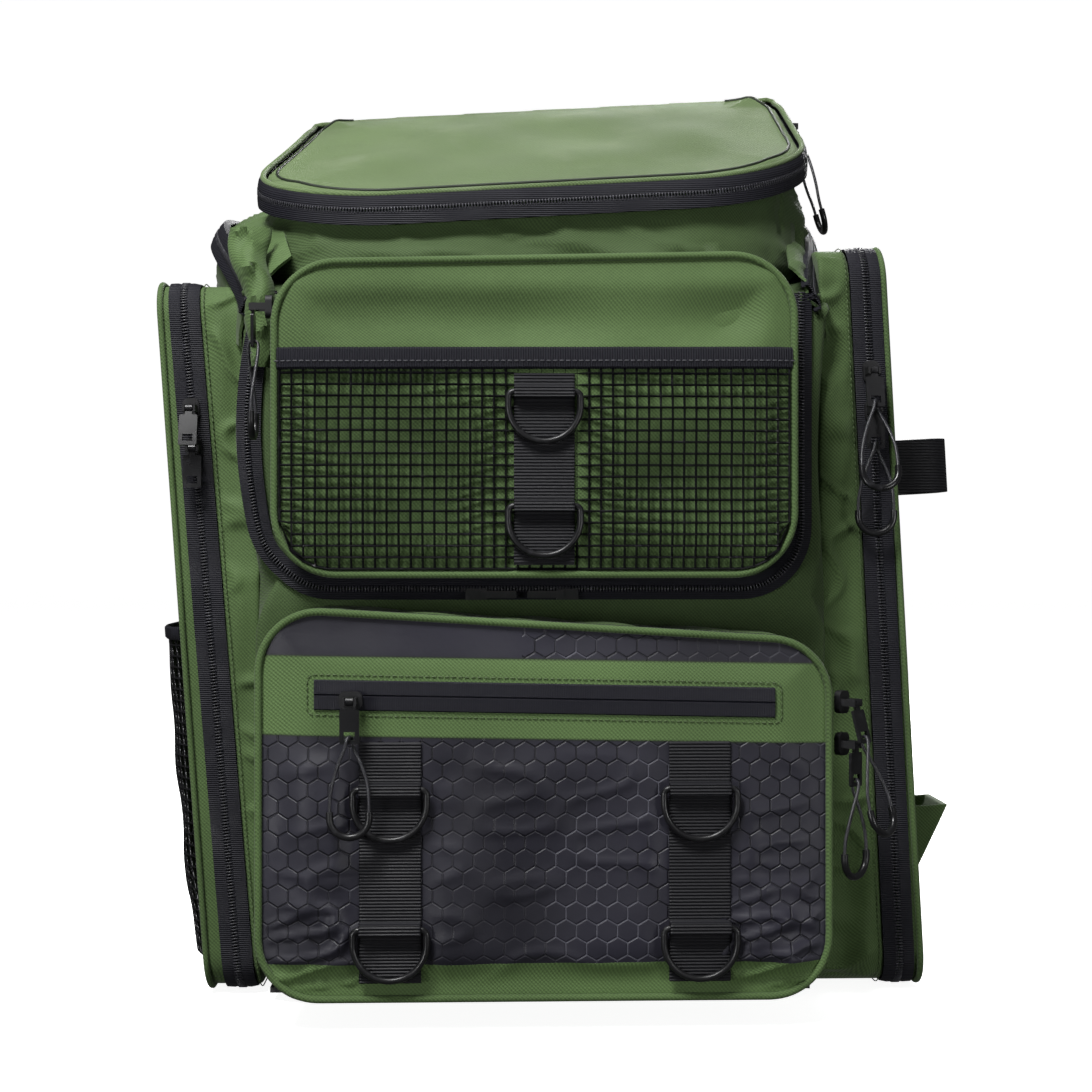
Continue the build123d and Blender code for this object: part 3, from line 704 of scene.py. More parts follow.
def spread(line, count):
    """A smooth run of points through a few."""
    line = np.asarray(line, float)
    marks = np.linspace(0, len(line) - 1, count)
    spots = np.arange(len(line))
    fit = [np.polyval(np.polyfit(spots, line[:, i], min(3, len(line) - 1)), marks) for i in range(3)]
    return np.stack(fit, axis=1)


def bow(p):
    """The front's left side swells outward between its corners."""
    p[:, 0] -= 12 * ease(120, 150, -p[:, 0]) * np.sin(np.clip((p[:, 2] - 235) / 165, 0, 1) * math.pi)
    return p


def bow_front(p):
    """The same swell, on the front face and fading out behind it."""
    p[:, 0] += (bow(p.copy()) - p)[:, 0] * (1 - ease(-84, -74, p[:, 1]))
    return p


def draw_in(across, up, radius, fade):
    """How much nearer to a corner's centre a point is drawn, so that a square corner becomes round."""
    wide, far = np.maximum(across, up), np.maximum(np.hypot(across, up), 1e-6)
    hold = (wide / far - 1) * (1 - ease(radius, radius + fade, wide))
    return np.where((across > 0) & (up > 0), 1 + hold, 1.0)


def round_doorway(p):
    """Round the flap's and the doorway's lower corners along the zipper."""
    front = p[:, 1] < -82
    level = DOOR_LOW + DOOR_ROUND
    for sign, centre in ((-1, DOOR_LEFT + DOOR_ROUND), (1, DOOR_RIGHT - DOOR_ROUND)):
        across, up = (p[:, 0] - centre) * sign, level - p[:, 2]
        k = np.where(front, draw_in(across, up, DOOR_ROUND, 26), 1.0)
        p[:, 0], p[:, 2] = centre + sign * across * k, level - up * k
    return p


def round_base(p):
    """Round the body's lower corners, as seen from the front."""
    edge = BASE_HALF - BASE_ROUND
    for sign in (-1, 1):
        across, up = p[:, 0] * sign - edge, BASE_ROUND - p[:, 2]
        k = draw_in(across, up, BASE_ROUND, 1)
        p[:, 0] = np.where(across > 0, sign * (edge + across * k), p[:, 0])
        p[:, 2] = BASE_ROUND - up * k
    return p


def shoulder_height(y):
    """The height of the body's sloping top, which the cap stands on."""
    front, back = 385.0, 447.0
    return front + (back - front) / (BACK - FRONT) * (y - FRONT)


def cap_height(x, y):
    """The height of the cap's rim, which slopes down to the front and to the left."""
    return CAP_HIGH + (CAP_HIGH - CAP_LOW) / (CAP_REAR - CAP_FRONT) * (y - CAP_REAR) + CAP_SLANT * x


def cap_swell(p):
    """Round the cap's rear corners, swell its left side in front, draw it in behind, and raise the back."""
    side, rear = CAP_HALF - CAP_ROUND, 54.0
    for sign in (-1, 1):
        across, behind = p[:, 0] * sign - side, p[:, 1] - rear
        k = draw_in(across, behind, CAP_ROUND, 2)
        p[:, 0] = np.where(across > 0, sign * (side + across * k), p[:, 0])
        p[:, 1] = rear + behind * k
    back = ease(-70, CAP_REAR, p[:, 1])
    p[:, 0] -= (9 - 24 * back) * ease(90, CAP_HALF, -p[:, 0])
    p[:, 2] += 5 * ease(-40, CAP_REAR, p[:, 1]) * ease(440, 470, p[:, 2])
    return p


def side_line(line, side, z):
    """How far across a side pocket's zipper or face is, at a height."""
    low, high = line[side]
    return low + (high - low) * (z - SIDE_LOW) / (SIDE_TOP[side] - SIDE_LOW)


def round_side(side):
    """Round a side pocket's four corners, as seen from the side."""
    def move(p):
        for sy, cy in ((-1, SIDE_ROUND - SIDE_HALF), (1, SIDE_HALF - SIDE_ROUND)):
            for sz, cz in ((-1, SIDE_LOW + SIDE_ROUND), (1, SIDE_TOP[side] - SIDE_ROUND)):
                dy, dz = (p[:, 1] - cy) * sy, (p[:, 2] - cz) * sz
                inside = (dy > 0) & (dz > 0)
                reach = np.maximum(dy, dz) / np.maximum(np.hypot(dy, dz), 1e-6)
                p[:, 1] = np.where(inside, cy + sy * dy * reach, p[:, 1])
                p[:, 2] = np.where(inside, cz + sz * dz * reach, p[:, 2])
        return p
    return move


def edge_distance(p, outline):
    """How far each point is inside a pocket's outline, seen from the front."""
    left, right, low, (high_left, high_right), _ = outline
    top = high_left + (high_right - high_left) * (p[:, 0] - left) / (right - left)
    return np.minimum.reduce([p[:, 0] - left, right - p[:, 0], p[:, 2] - low, top - p[:, 2]])


def loosen(wide, high, seed):
    """Let a gusset's fabric stray across and up, by about so many millimetres."""
    def move(p):
        across, up = (ripple(p, (50, 30, 50), each) for each in (seed, seed + 1))
        return p + np.column_stack([wide * across, np.zeros(len(p)), high * up])
    return move


def netting(rows):
    """A grid's lines as strands of coated mesh."""
    net = lay_grid(rows)
    wire = settings().mesh_wire
    modify(net, "WIREFRAME", thickness=wire, use_even_offset=False, use_boundary=True, offset=0.0)
    return net


# ---- operators ----
class PACK_OT_body(bpy.types.Operator):
    """The body's shell and the main flap"""
    bl_idname = "pack.body"
    bl_label = "Body and flap"

    def execute(self, context):
        w = settings().wrinkle
        shell = soften("main_shell", 4.0, 5)

        def slump(p):
            high = ease(330, 430, p[:, 2])
            out = np.sign(p[:, 0]) * ease(120, 150, np.abs(p[:, 0]))
            folds = high * 5 * crease(p, (60, 46, 60), 4)
            p[:, 0] += out * w * (2.0 * ripple(p, (70, 60, 80), 3) + folds)
            p[:, 0] += out * high * 4
            rear = ease(70, 88, p[:, 1])
            p[:, 1] += rear * (2.0 * ripple(p, (110, 80, 90), 5))
            face = 1 - ease(-86, -70, p[:, 1])
            p[:, 1] += face * 1.2 * ripple(p, (60, 60, 60), 6)
            return bow_front(p)
        shape(shell, round_doorway, round_base, slump)
        finish(shell, "body_fabric", look("painted_shade_oxford"), "root", "green_oxford", "main_shell")

        flap = soften("flap_panel", 4.0, 5)

        def drape(p):
            roof = ease(380, 392, p[:, 2])
            p[:, 2] += roof * w * (1.6 * ripple(p, (50, 60, 60), 8) + 2.5 * crease(p, (50, 60, 50), 9))
            p = bow_front(p)
            edge = ease(120, 150, -p[:, 0]) * ease(330, 390, p[:, 2]) * (1 - ease(-80, -60, p[:, 1]))
            p[:, 0] -= edge * (7 + 4 * crease(p, (30, 40, 60), 10))
            p[:, 1] -= edge * 5
            return p
        shape(flap, round_doorway, drape)
        finish(flap, "flap_fabric", look("painted_shade_oxford"), "main_flap", "green_oxford", "flap_panel")
        return {"FINISHED"}


def front_line(inset, step):
    """The main zipper's line on the front: down the left, across, and up the right."""
    left, right, low = DOOR_LEFT + inset, DOOR_RIGHT - inset, DOOR_LOW + inset
    corners = [(left, DOOR_HIGH), (left, low), (right, low), (right, DOOR_HIGH)]
    return rounded(corners, DOOR_ROUND - inset, step, closed=False)


def shoulder_panel(side, first, last, steps, seed):
    """A puffed and creased panel between two edges."""
    puff = np.array((OUTWARD[side] * 0.75, -0.35, 0.55))
    rows = []
    for t in np.linspace(0, 1, steps):
        row = first + (last - first) * t
        fold = 2.2 * crease(row, (40, 46, 34), seed)
        rows.append(row + puff * (math.sin(math.pi * t) * (3 + fold))[:, None])
    return lay_grid(rows, wall=1.6)


def shoulder(side):
    """One shoulder: a panel below the main zipper, a panel above it, and the zipper."""
    low_edge, seam, high_edge = (spread(curve, 60) for curve in SHOULDERS[side])
    low = shoulder_panel(side, low_edge, seam, 9, 60)
    finish(low, f"shoulder_low_{side}", look("painted_shade_oxford"), "root", "green_oxford")
    high = shoulder_panel(side, seam, high_edge, 12, 70)
    finish(high, f"shoulder_high_{side}", look("oxford"), "main_flap", "green_oxford")
    across = high_edge - low_edge
    across /= np.linalg.norm(across, axis=1, keepdims=True)
    lift = np.cross(np.gradient(seam, axis=0), across)
    lift /= np.linalg.norm(lift, axis=1, keepdims=True)
    lift *= np.sign(lift[:, :1] * OUTWARD[side])
    for body, near, far in (("root", -7.5, -0.7), ("main_flap", 0.7, 7.5)):
        section = ((near, 0.5), (near, 4.6), ((near + far) / 2, 5.2), (far, 4.6), (far, 0.5))
        tape = lay_grid([seam + across * wide + lift * high for wide, high in section], wall=1.0)
        finish(tape, f"shoulder_tape_{side}_{body}", look("zip_tape"), body, "zip_tape")
    teeth = coil(seam + lift * 5.4, lift)
    finish(teeth, f"shoulder_teeth_{side}", look("teeth"), "root", "zip_tape")


def pleat():
    """The loose fold of fabric that stands at the left shoulder's front."""
    steps, sides, low, rise = 30, 19, 350, 78
    turn = np.linspace(0, math.pi, sides)
    rows = []
    for t in np.linspace(0, 1, steps):
        half, deep = 6 + 5 * t, 6 + 4 * math.sin(math.pi * min(1, t * 1.2))
        x = -156 - 2 * t + 4 * math.sin(5 * t) - half * np.cos(turn)
        y = -91 - deep * np.sin(turn) + 40 * max(0, t - 0.66)
        row = np.column_stack([x, y, np.full(sides, low + rise * t)])
        folds = 3.6 * crease(row, (14, 30, 30), 77) + 1.5 * ripple(row, (12, 30, 24), 76)
        row[:, 1] -= np.sin(turn) * folds
        row[:, 0] += 2.5 * ripple(row, (30, 30, 30), 78)
        rows.append(row)
    finish(lay_grid(rows, wall=1.4), "shoulder_pleat", look("oxford"), "main_flap", "green_oxford")


class PACK_OT_main_zipper(bpy.types.Operator):
    """The zipper around the main flap, across the front and over the shoulders"""
    bl_idname = "pack.main_zipper"
    bl_label = "Main zipper"

    def execute(self, context):
        for body, inset, name, node in (
            ("main_flap", 0.7, "flap_zip_tape", "flap_zip_tapes"),
            ("root", -0.7, "doorway_zip_tape", "pack_zip_tapes"),
        ):
            rows = []
            for shift in (0.0, 2.6, 5.2):
                line = thin_out(front_line(inset + math.copysign(shift, inset), 1), 130)
                rows.append(bow(upright(line, -93.2 + 0.25 * shift)))
            finish(lay_grid(rows, wall=1.2), name, look("zip_tape"), body, "zip_tape", node)
        line = front_line(0, 4)
        away = np.tile((0, -1, 0), (len(line), 1))
        finish(coil(bow(upright(line, -94.0)), away), "main_zip_teeth", look("teeth"), "root", "zip_tape")
        for side in SHOULDERS:
            shoulder(side)
        pleat()
        return {"FINISHED"}


class PACK_OT_cap(bpy.types.Operator):
    """The compartment on top: its fabric wall, its padded lid and its zipper"""
    bl_idname = "pack.cap"
    bl_label = "Cap"

    def execute(self, context):
        w = settings().wrinkle
        tray = soften("cap_tray", 3.0, 5)

        def billow(p):
            low = shoulder_height(p[:, 1]) + 6
            high = cap_height(p[:, 0], p[:, 1])
            t = np.clip((p[:, 2] - low) / np.maximum(high - low, 1), 0, 1)
            out = np.stack([p[:, 0] / CAP_HALF, (p[:, 1] - 10) / 98], axis=1)
            out /= np.maximum(np.linalg.norm(out, axis=1, keepdims=True), 0.3)
            rim = ease(0.75, 0.97, np.maximum(np.abs(p[:, 0]) / CAP_HALF, p[:, 1] / CAP_FRONT))
            full = rim * np.sin(t ** 0.6 * math.pi)
            folds = w * 4.0 * crease(p, (70, 60, 30), 13)
            push = full * (2.5 + w * 2.0 * ripple(p, (60, 60, 30), 12) + folds)
            push -= 4.0 * rim * ease(0.42, 0.70, t) * (1 - ease(0.90, 1.0, t))
            p[:, :2] += out * push[:, None]
            return cap_swell(p)
        shape(tray, billow)
        finish(tray, "cap_fabric", look("painted_shade_oxford"), "main_flap", "green_oxford", "cap_tray")

        lid = soften("cap_lid", 2.6, 6)

        def crown(p):
            up = ease(2.0, 7.0, p[:, 2] - cap_height(p[:, 0], p[:, 1]))
            reach = np.minimum.reduce([CAP_HALF - np.abs(p[:, 0]), p[:, 1] - CAP_FRONT, 90 - p[:, 1]])
            middle = ease(0, 60, reach)
            p[:, 2] += up * middle * (4.0 + w * 1.6 * ripple(p, (90, 70, 90), 15))
            p[:, 2] -= up * (1 - ease(0, 7, reach)) * 1.6
            return cap_swell(p)
        shape(lid, crown)
        finish(lid, "lid_fabric", look("lid_oxford"), "cap_lid", "green_oxford", "cap_lid")

        def rim(inset, shift):
            """A line along the cap's rim, open at the back: how far in from it, and how far above it."""
            side, front, back = CAP_HALF - inset, CAP_FRONT + inset, CAP_REAR + 1 - inset
            stop, curve = 124, 70 - inset
            left = [(-stop, back), (-side, back), (-side, front)]
            right = [(side, front), (side, back), (stop, back)]
            line = rounded(left + right, [0, 0, curve, curve, 0, 0], closed=False)
            line = thin_out(resample(line, 1, False), 260)
            high = cap_height(line[:, 0], line[:, 1]) + shift - 3.0 * ease(50, CAP_REAR, line[:, 1])
            return cap_swell(np.column_stack([line, high]))
        for name, body, edge in (
            ("lid_zip_tape", "cap_lid", ((-3.0, 7.0), (-4.2, 5.2), (-4.6, 2.6), (-4.6, 0.4))),
            ("cap_zip_tape", "main_flap", ((-4.6, -1.0), (-4.8, -4.4), (-4.6, -7.8), (-1.0, -8.8))),
        ):
            tape = lay_grid([rim(inset, shift) for inset, shift in edge], wall=1.4)
            finish(tape, name, look("zip_tape"), body, "zip_tape")
        middle = rim(-5.0, -0.3)
        flat = outward(middle[:, :2], False)
        flat = flat * np.sign(np.sum(flat * middle[:, :2], axis=1))[:, None]
        teeth = coil(middle, np.column_stack([flat, np.zeros(len(flat))]))
        finish(teeth, "cap_zip_teeth", look("teeth"), "main_flap", "zip_tape")
        piping = tube(rim(-2.2, 7.8), 1.7)
        finish(piping, "lid_piping", look("lid_oxford"), "cap_lid", "green_oxford")
        # painted shade: a thin dark tube laid on the lid along its seam stands in for the shade in the seam's
        # groove
        line = []
        for spot in rim(5.5, 8.0):
            _, place, normal, _ = lid.closest_point_on_mesh(Vector(spot) * MM)
            line.append((place + normal * 0.0003) / MM)
        seam = tube(line, 0.9)
        finish(seam, "lid_seam", look("painted_seam_shade"), "cap_lid", "green_oxford")
        return {"FINISHED"}


def pocket_zipper(name, outline, mouth, behind, in_front):
    """The two tapes and the teeth around a front pocket."""
    for body, near, far, tag in (
        (behind, mouth + 6.0, mouth + 0.4, "inner"), (in_front, mouth - 1.4, mouth - 7.0, "outer"),
    ):
        rows = [upright(pocket_line(outline, 0.3), y) for y in (near, (near + far) / 2, far)]
        tape = lay_grid(rows, closed=True, wall=1.6)
        finish(tape, f"{name}_zip_{tag}", look("zip_tape"), body, "zip_tape")
    line = pocket_line(outline, -0.3)
    out = outward(line)
    teeth = coil(upright(line, mouth - 0.5), upright(out, 0.0), closed=True)
    finish(teeth, f"{name}_zip_teeth", look("teeth"), behind, "zip_tape")


def pocket_piping(name, outline, y, body):
    cord = tube(upright(pocket_line(outline, 1.0, 3.0), y), settings().piping / MM / 2, closed=True)
    finish(cord, name, look("oxford"), body, "green_oxford")


class PACK_OT_upper_pocket(bpy.types.Operator):
    """The upper pocket: gusset, cover, coated mesh, binding and webbing"""
    bl_idname = "pack.upper_pocket"
    bl_label = "Upper pocket"

    def execute(self, context):
        gusset = soften("upper_pocket_gusset", 1.8, 4)
        shape(gusset, loosen(1.2, 1.2, 20))
        finish(
            gusset, "upper_gusset_fabric", look("painted_shade_oxford"), "main_flap", "green_oxford",
            "upper_pocket_gusset",
        )
        cover = soften("upper_cover", 2.4, 5)

        def crown(p):
            front = 1 - ease(UPPER_FACE + 1.5, UPPER_FACE + 5, p[:, 1])
            inside = edge_distance(p, UPPER)
            p[:, 1] += front * (1 - ease(0, 26, inside)) * 3.0
            free = ease(346, 366, p[:, 2])
            hollow = np.sin(np.clip((p[:, 2] - 356) / 46, 0, 1) * math.pi) * ease(10, 60, inside + 12)
            p[:, 1] += front * ease(4, 24, inside) * hollow * (8.0 + 3.0 * ripple(p, (120, 50, 60), 23))
            p[:, 1] -= front * free * ease(4, 20, inside) * 1.5
            low = ease(4, 30, inside) * (1 - free) * ease(22, 60, np.abs(p[:, 0]))
            p[:, 1] += front * low * (1.6 + 1.6 * ripple(p, (60, 50, 60), 24))
            return p
        shape(cover, crown)
        finish(cover, "upper_cover_fabric", look("oxford"), "upper_cover", "green_oxford", "upper_cover")
        pocket_piping("upper_piping", UPPER, UPPER_FACE + 2.4, "upper_cover")
        pocket_zipper("upper", UPPER, UPPER_MOUTH, "main_flap", "upper_cover")

        cell = settings().mesh_cell / MM
        left, right, low, high, turn = -139.0, 130.0, 240.0, 349.0, 27.0
        xs = np.linspace(left, right, round((right - left) / cell) + 1)
        zs = np.linspace(low, high, round((high - low) / cell) + 1)
        gx, gz = np.meshgrid(xs, zs)
        for sx, edge in ((-1, left), (1, right)):
            depth = np.clip((edge - gx) * -sx + turn, 0, turn)
            gz = np.maximum(gz, low + turn - np.sqrt(turn ** 2 - np.minimum(depth, turn - 0.1) ** 2))
        flat = np.stack([gx, np.zeros_like(gx), gz], axis=-1)
        spot = flat.reshape(-1, 3)
        inside = edge_distance(spot, UPPER)
        bulge = ease(0, 30, inside - 4) * ease(16, 50, np.abs(spot[:, 0]))
        bulge = bulge * ease(0, 26, high - spot[:, 2])
        under = 1.6 * (1 - ease(17, 22, np.abs(spot[:, 0] - 3)))
        depth = UPPER_FACE - 0.9 + under + 2.2 * (1 - ease(0, 22, inside))
        flat[..., 1] = (depth - bulge * (2.4 + 1.4 * ripple(spot, (70, 50, 60), 26))).reshape(gx.shape)
        net = netting(flat)
        smooth(net, 35)
        finish(net, "upper_coated_mesh", look("coated_mesh"), "upper_cover", "coated_mesh", "upper_mesh")

        rows = []
        xs = np.linspace(-140.5, 131.5, 90)
        sunk = 2.6 * (1 - ease(0, 14, np.minimum(xs - UPPER[0], UPPER[1] - xs)))
        for z, out in ((345.5, 0.6), (346.5, 2.2), (351, 2.6), (355.5, 2.2), (356.5, 0.6)):
            depth = UPPER_FACE - out + sunk + 0.25 * np.sin(xs / 9)
            rows.append(np.stack([xs, depth, z + 0.004 * xs], axis=1))
        strip = lay_grid(rows, wall=0.8)
        finish(strip, "mesh_binding", look("binding"), "upper_cover", "webbing")
        row = rows[2] + (0, -0.5, -1.6)
        seam = sew(row, np.tile((0, -1, 0), (len(row), 1)))
        finish(seam, "binding_stitches", look("black_thread"), "upper_cover", "webbing")
        strap = soften("upper_webbing", 0.9, 2)
        finish(strap, "upper_webbing_strap", look("webbing"), "upper_cover", "webbing", "upper_webbing")
        return {"FINISHED"}


class PACK_OT_lower_pocket(bpy.types.Operator):
    """The lower pocket: gusset, hexagon front, welt zipper and straps"""
    bl_idname = "pack.lower_pocket"
    bl_label = "Lower pocket"

    def execute(self, context):
        w = settings().wrinkle
        gusset = soften("lower_pocket_gusset", 1.8, 4)
        shape(gusset, loosen(1.5, 1.2, 30))
        finish(gusset, "lower_gusset_fabric", look("oxford"), "root", "green_oxford", "lower_pocket_gusset")
        cover = soften("lower_cover", 2.0, 4)

        def crown(p):
            front = 1 - ease(LOWER_FACE + 1.5, LOWER_FACE + 6, p[:, 1])
            inside = edge_distance(p, LOWER)
            p[:, 1] += front * (1 - ease(0, 30, inside)) * 4.0
            strap = np.minimum(np.abs(np.abs(p[:, 0]) - 80), 40)
            free = ease(17, 30, strap) * ease(4, 26, inside)
            below = 1 - ease(135, 152, p[:, 2])
            folds = 2.2 * ripple(p, (60, 50, 70), 33) + 1.2 * crease(p, (70, 40, 36), 35)
            p[:, 1] -= front * free * below * w * (0.8 + folds)
            left, right = (np.hypot(p[:, 0] - x, p[:, 2] - 44) for x in (-116, 118))
            corner = np.maximum(1 - ease(0, 62, left), 1 - ease(0, 62, right))
            p[:, 1] -= front * ease(2, 12, inside) * corner * w * 3.4 * crease(p, (46, 40, 18), 34)
            p[:, 1] += front * ease(2, 12, inside) * (1 - ease(30, 40, p[:, 2])) * 1.4
            return p
        shape(cover, crown)
        finish(cover, "lower_cover_fabric", look("pocket_front"), "lower_cover", "hex_fabric", "lower_cover")
        pocket_piping("lower_piping", LOWER, LOWER_FACE + 3.2, "lower_cover")
        pocket_zipper("lower", LOWER, LOWER_MOUTH, "root", "lower_cover")

        count, half, tall = 60, 119, 7.6
        xs = np.linspace(-half, half, count)
        middle = 173.2 - 0.020 * xs
        section = ((1, 0.3), (0.93, 1.0), (0.1, 1.3), (0.02, 0.5))
        section += tuple((-up, out) for up, out in reversed(section))
        rows = [np.stack([xs, np.full(count, LOWER_FACE - out), middle + up * tall], axis=1)
                for up, out in section]
        welt = lay_grid(rows, wall=0.6)
        finish(welt, "welt_zipper_tape", look("coated_tape"), "lower_cover", "zip_tape", "welt_zipper")
        half, low, high, rise = 122.5, 162.7, 183.5, 2.5
        corners = [(-half, low + rise), (half, low - rise), (half, high - rise), (-half, high + rise)]
        line = rounded(corners, 3.0, 3.0)
        away = np.tile((0, -1, 0), (len(line), 1))
        seam = sew(upright(line, LOWER_FACE - 0.35), away, closed=True)
        finish(seam, "welt_stitches", look("green_thread"), "lower_cover", "green_oxford")
        straps = soften("lower_webbing", 0.9, 2)
        finish(straps, "lower_webbing_straps", look("webbing"), "lower_cover", "webbing", "lower_webbing")
        return {"FINISHED"}


class PACK_OT_side_pockets(bpy.types.Operator):
    """Both side pockets, each with its long zipper"""
    bl_idname = "pack.side_pockets"
    bl_label = "Side pockets"

    def execute(self, context):
        w = settings().wrinkle
        for side in ("left", "right"):
            out, top = OUTWARD[side], SIDE_TOP[side]
            tray = soften(f"{side}_pocket_tray", 1.9, 4)

            def slack(p):
                face = 1 - ease(-74, -66, p[:, 1])
                free = np.abs(p[:, 0] - side_line(SIDE_ZIP, side, p[:, 2]))
                folds = 2.4 * ripple(p, (40, 40, 90), 41) + 3.0 * crease(p, (60, 40, 46), 42)
                p[:, 1] -= face * ease(9, 20, free) * w * (1.0 + folds)
                return p
            shape(tray, slack, round_side(side))
            finish(tray, f"{side}_tray_fabric", look("oxford"), "root", "green_oxford", f"{side}_pocket_tray")

            cover = soften(f"{side}_cover", 2.4, 5)

            def crown(p):
                face = ease(4, 10, (p[:, 0] - side_line(SIDE_ZIP, side, p[:, 2])) * out)
                reach = np.minimum.reduce([SIDE_HALF - np.abs(p[:, 1]), p[:, 2] - SIDE_LOW, top - p[:, 2]])
                full = 3.0 + w * 1.6 * ripple(p, (60, 60, 100), 44)
                p[:, 0] += out * face * ease(0, 45, reach) * full
                return p
            shape(cover, crown, round_side(side))
            lid = f"{side}_cover"
            finish(cover, f"{side}_cover_fabric", look("oxford"), lid, "green_oxford", f"{side}_cover")

            half, low, high = SIDE_HALF + 0.8, SIDE_LOW - 0.8, top + 0.8
            corners = [(-half, low), (half, low), (half, high), (-half, high)]
            line = rounded(corners, SIDE_ROUND, 4)
            away = outward(line)
            out_of_line = np.column_stack([np.zeros(len(line)), away])

            def ring(shift, lift):
                """The zipper's line, so far towards the face and so far outside the outline."""
                spot = line + away * lift
                x = side_line(SIDE_ZIP, side, line[:, 1]) + out * shift
                return np.column_stack([x, spot])
            for body, near, far, tag in (("root", -8.6, -0.7, "inner"), (lid, 0.7, 8.4, "outer")):
                rows = [ring(near, -0.3), ring((near + far) / 2, 0.5), ring(far, 0.3)]
                tape = lay_grid(rows, closed=True, wall=1.2)
                finish(tape, f"{side}_zip_{tag}", look("zip_tape"), body, "zip_tape")
            teeth = coil(ring(0, 0.9), out_of_line, closed=True, width=4.2)
            finish(teeth, f"{side}_zip_teeth", look("teeth"), "root", "zip_tape")
            x = side_line(SIDE_FACE, side, line[:, 1]) - out * 0.8
            cord = tube(np.column_stack([x, line + away * 0.1]), 1.7, closed=True)
            finish(cord, f"{side}_piping", look("oxford"), lid, "green_oxford")
            seam = sew(ring(-11.0, 0.6), out_of_line, closed=True)
            finish(seam, f"{side}_stitches_inner", look("green_thread"), "root", "green_oxford")
        return {"FINISHED"}


class PACK_OT_side_details(bpy.types.Operator):
    """The mesh pocket on the left, and the rod strap and rod cup on the right"""
    bl_idname = "pack.side_details"
    bl_label = "Side details"

    def execute(self, context):
        cell = settings().mesh_cell / MM
        half, low, high, full = 62, 20, 202, 14

        def face(z):
            return side_line(SIDE_FACE, "left", z) - 1.5
        ys = np.linspace(-half, half, round(2 * half / cell) + 1)
        zs = np.linspace(low, high, round((high - low) / cell) + 1)
        gy, gz = np.meshgrid(ys, zs)
        gx = face(gz) - full * (1 - (np.abs(gy) / half) ** 4) * (0.55 + 0.45 * ease(18, 60, gz))
        places = np.stack([gx.ravel(), gy.ravel(), gz.ravel()], axis=1)
        gx += 1.2 * ripple(places, (40, 40, 40), 51).reshape(gx.shape)
        net = netting(np.stack([gx, gy, gz], axis=-1))
        finish(net, "left_mesh", look("coated_mesh"), "left_cover", "coated_mesh", "left_mesh_pocket")
        count, half = 60, 63
        ys = np.linspace(-half, half, count)
        proud = full * (1 - (np.abs(ys) / half) ** 4)
        rows = [np.stack([face(z) - proud - lift, ys, np.full(count, z)], axis=1)
                for z, lift in ((199, 0.8), (200, 1.8), (205, 1.8), (206, 0.8))]
        finish(lay_grid(rows, wall=1.0), "left_mesh_binding", look("binding"), "left_cover", "webbing")
        strap = soften("rod_strap", 0.8, 2)
        finish(strap, "rod_strap_webbing", look("webbing"), "right_cover", "webbing", "rod_strap")
        cup = soften("rod_pocket", 1.3, 4)
        finish(cup, "rod_cup_fabric", look("oxford"), "right_cover", "green_oxford", "rod_pocket")
        return {"FINISHED"}


def swell(piece, pressure, cap):
    """Fill a padded piece by a short cloth simulation, then hold how far each point moved."""
    scene = bpy.context.scene
    before = points(piece)
    choose(piece)
    cloth = piece.modifiers.new("Cloth", "CLOTH")
    cloth.settings.use_pressure = True
    cloth.settings.uniform_pressure_force = pressure
    cloth.settings.effector_weights.gravity = 0
    last = 20
    cloth.point_cache.frame_start, cloth.point_cache.frame_end = 1, last
    for step in range(1, last + 1):
        scene.frame_set(step)
    bpy.ops.object.modifier_apply(modifier=cloth.name)
    moved = points(piece) - before
    far = np.linalg.norm(moved, axis=1, keepdims=True)
    put(piece, before + moved * np.minimum(1, cap * MM / np.maximum(far, 1e-9)))
    scene.frame_set(1)


class PACK_OT_harness(bpy.types.Operator):
    """The back pad, the shoulder straps with their webbing, and the haul handle"""
    bl_idname = "pack.harness"
    bl_label = "Harness"

    def execute(self, context):
        pad = soften("back_pad", 5.0, 3)
        swell(pad, 4, 5)

        def channels(p):
            groove, wide = np.zeros(len(p)), 4.0
            for x in (-42, 42):
                groove += np.exp(-((p[:, 0] - x) / wide) ** 2)
            for z in (150, 230, 310):
                groove += np.exp(-((p[:, 2] - z) / wide) ** 2) * (np.abs(p[:, 0]) < 120)
            p[:, 1] -= np.clip(groove, 0, 1) * 5 * ease(98, 103, p[:, 1])
            return p
        modify(pad, "SUBSURF", levels=1, render_levels=1)
        shape(pad, channels)
        smooth(pad)
        finish(pad, "back_pad_foam", look("spacer_mesh"), "root", "pad_mesh", "back_pad")
        straps = soften("shoulder_straps", 4.0, 4)
        swell(straps, 4, 4)
        modify(straps, "SUBSURF", levels=1, render_levels=1)
        smooth(straps)
        finish(straps, "shoulder_strap_foam", look("spacer_mesh"), "root", "pad_mesh", "shoulder_straps")
        webs = soften("strap_webbing", 1.6, 2)
        finish(webs, "strap_webbing_tails", look("webbing"), "root", "webbing", "strap_webbing")
        handle = soften("haul_handle", 1.3, 3)
        finish(handle, "haul_handle_webbing", look("webbing"), "root", "webbing", "haul_handle")
        return {"FINISHED"}


